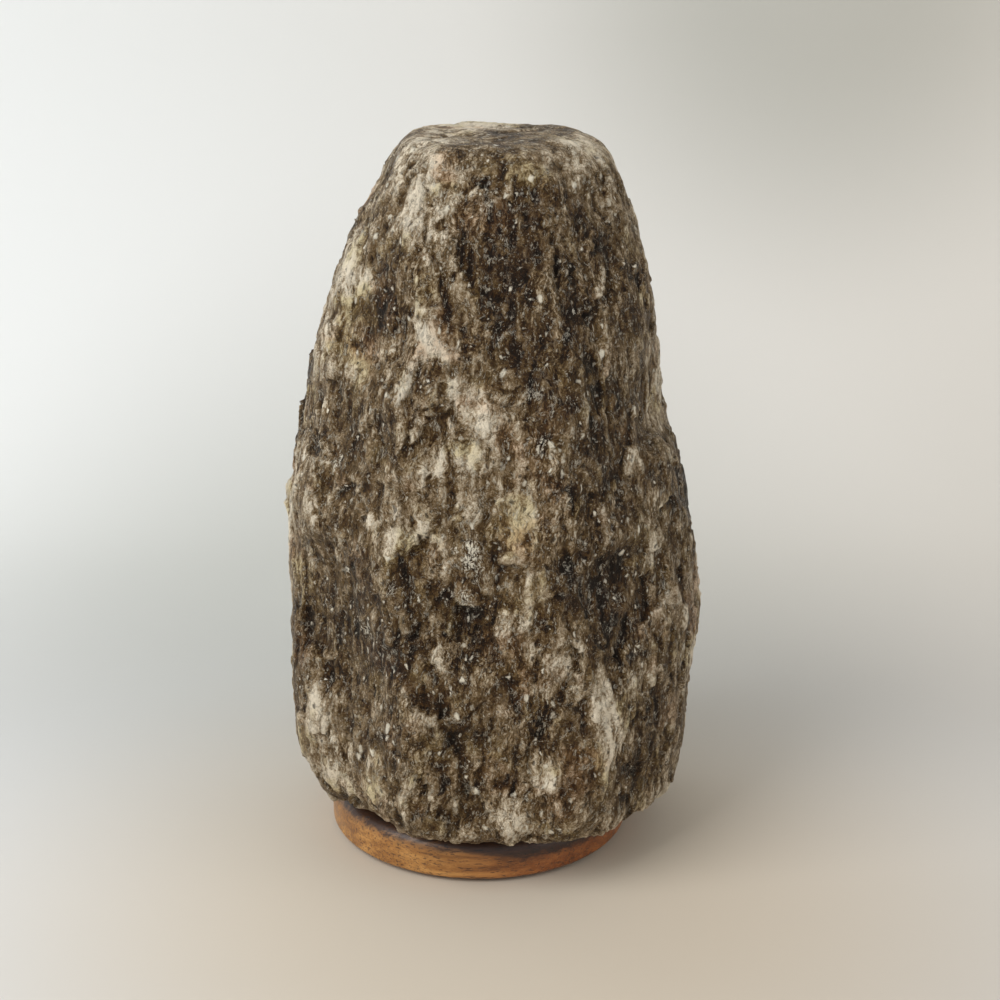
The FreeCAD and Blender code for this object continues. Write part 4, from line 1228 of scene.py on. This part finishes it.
class LAMP_OT_stage(LampOperator, bpy.types.Operator):
    """Set the paper, the lamps and the camera"""

    bl_idname = "lamp.stage"
    bl_label = "Stage"

    def execute(self, context):
        settings = context.scene.lamp_stage
        paper = self.paper(settings)
        paper.data.materials.append(floor_finish(settings))
        self.room(context.scene, settings)
        self.lamp("window_lamp", settings.window_power, 1.1, (-0.95, -0.75, 1.15))
        self.lamp("fill_lamp", settings.fill_power, 0.9, (1.25, -0.55, 0.55))
        self.camera(context.scene, settings)
        return {"FINISHED"}

    def paper(self, settings):
        """A floor that rises behind the lamp in one wide bend."""
        select_nothing()
        bpy.ops.mesh.primitive_plane_add(size=1.0)
        paper = bpy.context.object
        paper.name = "paper_sweep"
        bpy.ops.object.mode_set(mode="EDIT")
        bpy.ops.transform.resize(value=(5.0, 3.0, 1.0))
        bpy.ops.transform.translate(value=(0.0, settings.wall_place - 1.5, 0.0))
        bpy.ops.object.mode_set(mode="OBJECT")
        mesh = paper.data
        for face in mesh.polygons:
            face.select = False
        for point in mesh.vertices:
            point.select = point.co.y > settings.wall_place - 0.01
        for edge in mesh.edges:
            edge.select = all(mesh.vertices[index].select for index in edge.vertices)
        bpy.ops.object.mode_set(mode="EDIT")
        bpy.ops.mesh.select_mode(type="EDGE")
        bpy.ops.mesh.extrude_region_move(TRANSFORM_OT_translate={"value": (0.0, 0.0, 2.2)})
        bpy.ops.object.mode_set(mode="OBJECT")
        bend = paper.modifiers.new("bend", "BEVEL")
        bend.width = settings.bend_size
        bend.segments = 24
        apply_modifier(paper, bend)
        bpy.ops.object.shade_smooth()
        return paper

    def room(self, scene, settings):
        """Even light from all sides."""
        world = bpy.data.worlds.new("room")
        world.use_nodes = True
        sky = world.node_tree.nodes["Background"]
        sky.inputs["Color"].default_value = (0.98, 1.0, 1.0, 1.0)
        sky.inputs["Strength"].default_value = settings.room_light
        scene.world = world
        scene.view_settings.view_transform = "Standard"

    def lamp(self, name, power, size, place):
        """A large square lamp that looks at the rock."""
        data = bpy.data.lights.new(name, "AREA")
        data.energy = power
        data.size = size
        made = bpy.data.objects.new(name, data)
        bpy.context.scene.collection.objects.link(made)
        turn = (LAMPS_LOOK_AT - Vector(place)).to_track_quat("-Z", "Y").to_matrix().to_4x4()
        made.matrix_world = Matrix.Translation(place) @ turn

    def camera(self, scene, settings):
        """The camera where the photographer stood."""
        data = bpy.data.cameras.new("camera")
        data.lens = settings.lens
        data.sensor_width = 36.0
        made = bpy.data.objects.new("camera", data)
        scene.collection.objects.link(made)
        dip = Matrix.Rotation(math.pi / 2 - settings.camera_dip, 4, "X")
        roll = Matrix.Rotation(settings.camera_roll, 4, "Z")
        made.matrix_world = Matrix.Translation(settings.camera_place) @ dip @ roll
        scene.camera = made


def select_nothing():
    """Leaves no object selected."""
    for other in bpy.context.selected_objects:
        other.select_set(False)


class LAMP_PT_pieces(bpy.types.Panel):
    """The lamp's pieces, each with its button"""

    bl_idname = "LAMP_PT_pieces"
    bl_label = "Salt crystal lamp"
    bl_space_type = "VIEW_3D"
    bl_region_type = "UI"
    bl_category = "Salt lamp"

    def draw(self, context):
        column = self.layout.column()
        for step in STEPS:
            column.operator(step.bl_idname)
        for settings in ("lamp_rock", "lamp_wood", "lamp_stage"):
            group = getattr(context.scene, settings)
            for name in group.__annotations__:
                column.prop(group, name)


STEPS = (
    LAMP_OT_finish_parts,
    LAMP_OT_stage,
    LAMP_OT_salt_rock,
    LAMP_OT_wooden_base,
    LAMP_OT_light_unit,
    LAMP_OT_bulb,
)
CLASSES = (RockSettings, WoodSettings, StageSettings, *STEPS, LAMP_PT_pieces)


def register():
    for item in CLASSES:
        bpy.utils.register_class(item)
    bpy.types.Scene.lamp_rock = bpy.props.PointerProperty(type=RockSettings)
    bpy.types.Scene.lamp_wood = bpy.props.PointerProperty(type=WoodSettings)
    bpy.types.Scene.lamp_stage = bpy.props.PointerProperty(type=StageSettings)


def unregister():
    del bpy.types.Scene.lamp_stage
    del bpy.types.Scene.lamp_wood
    del bpy.types.Scene.lamp_rock
    for item in reversed(CLASSES):
        bpy.utils.unregister_class(item)


def main():
    register()
    bpy.ops.lamp.finish_parts()
    bpy.ops.lamp.stage()
    bpy.ops.lamp.salt_rock()
    bpy.ops.lamp.wooden_base()
    bpy.ops.lamp.light_unit()
    bpy.ops.lamp.bulb()


if __name__ == "__main__":
    main()
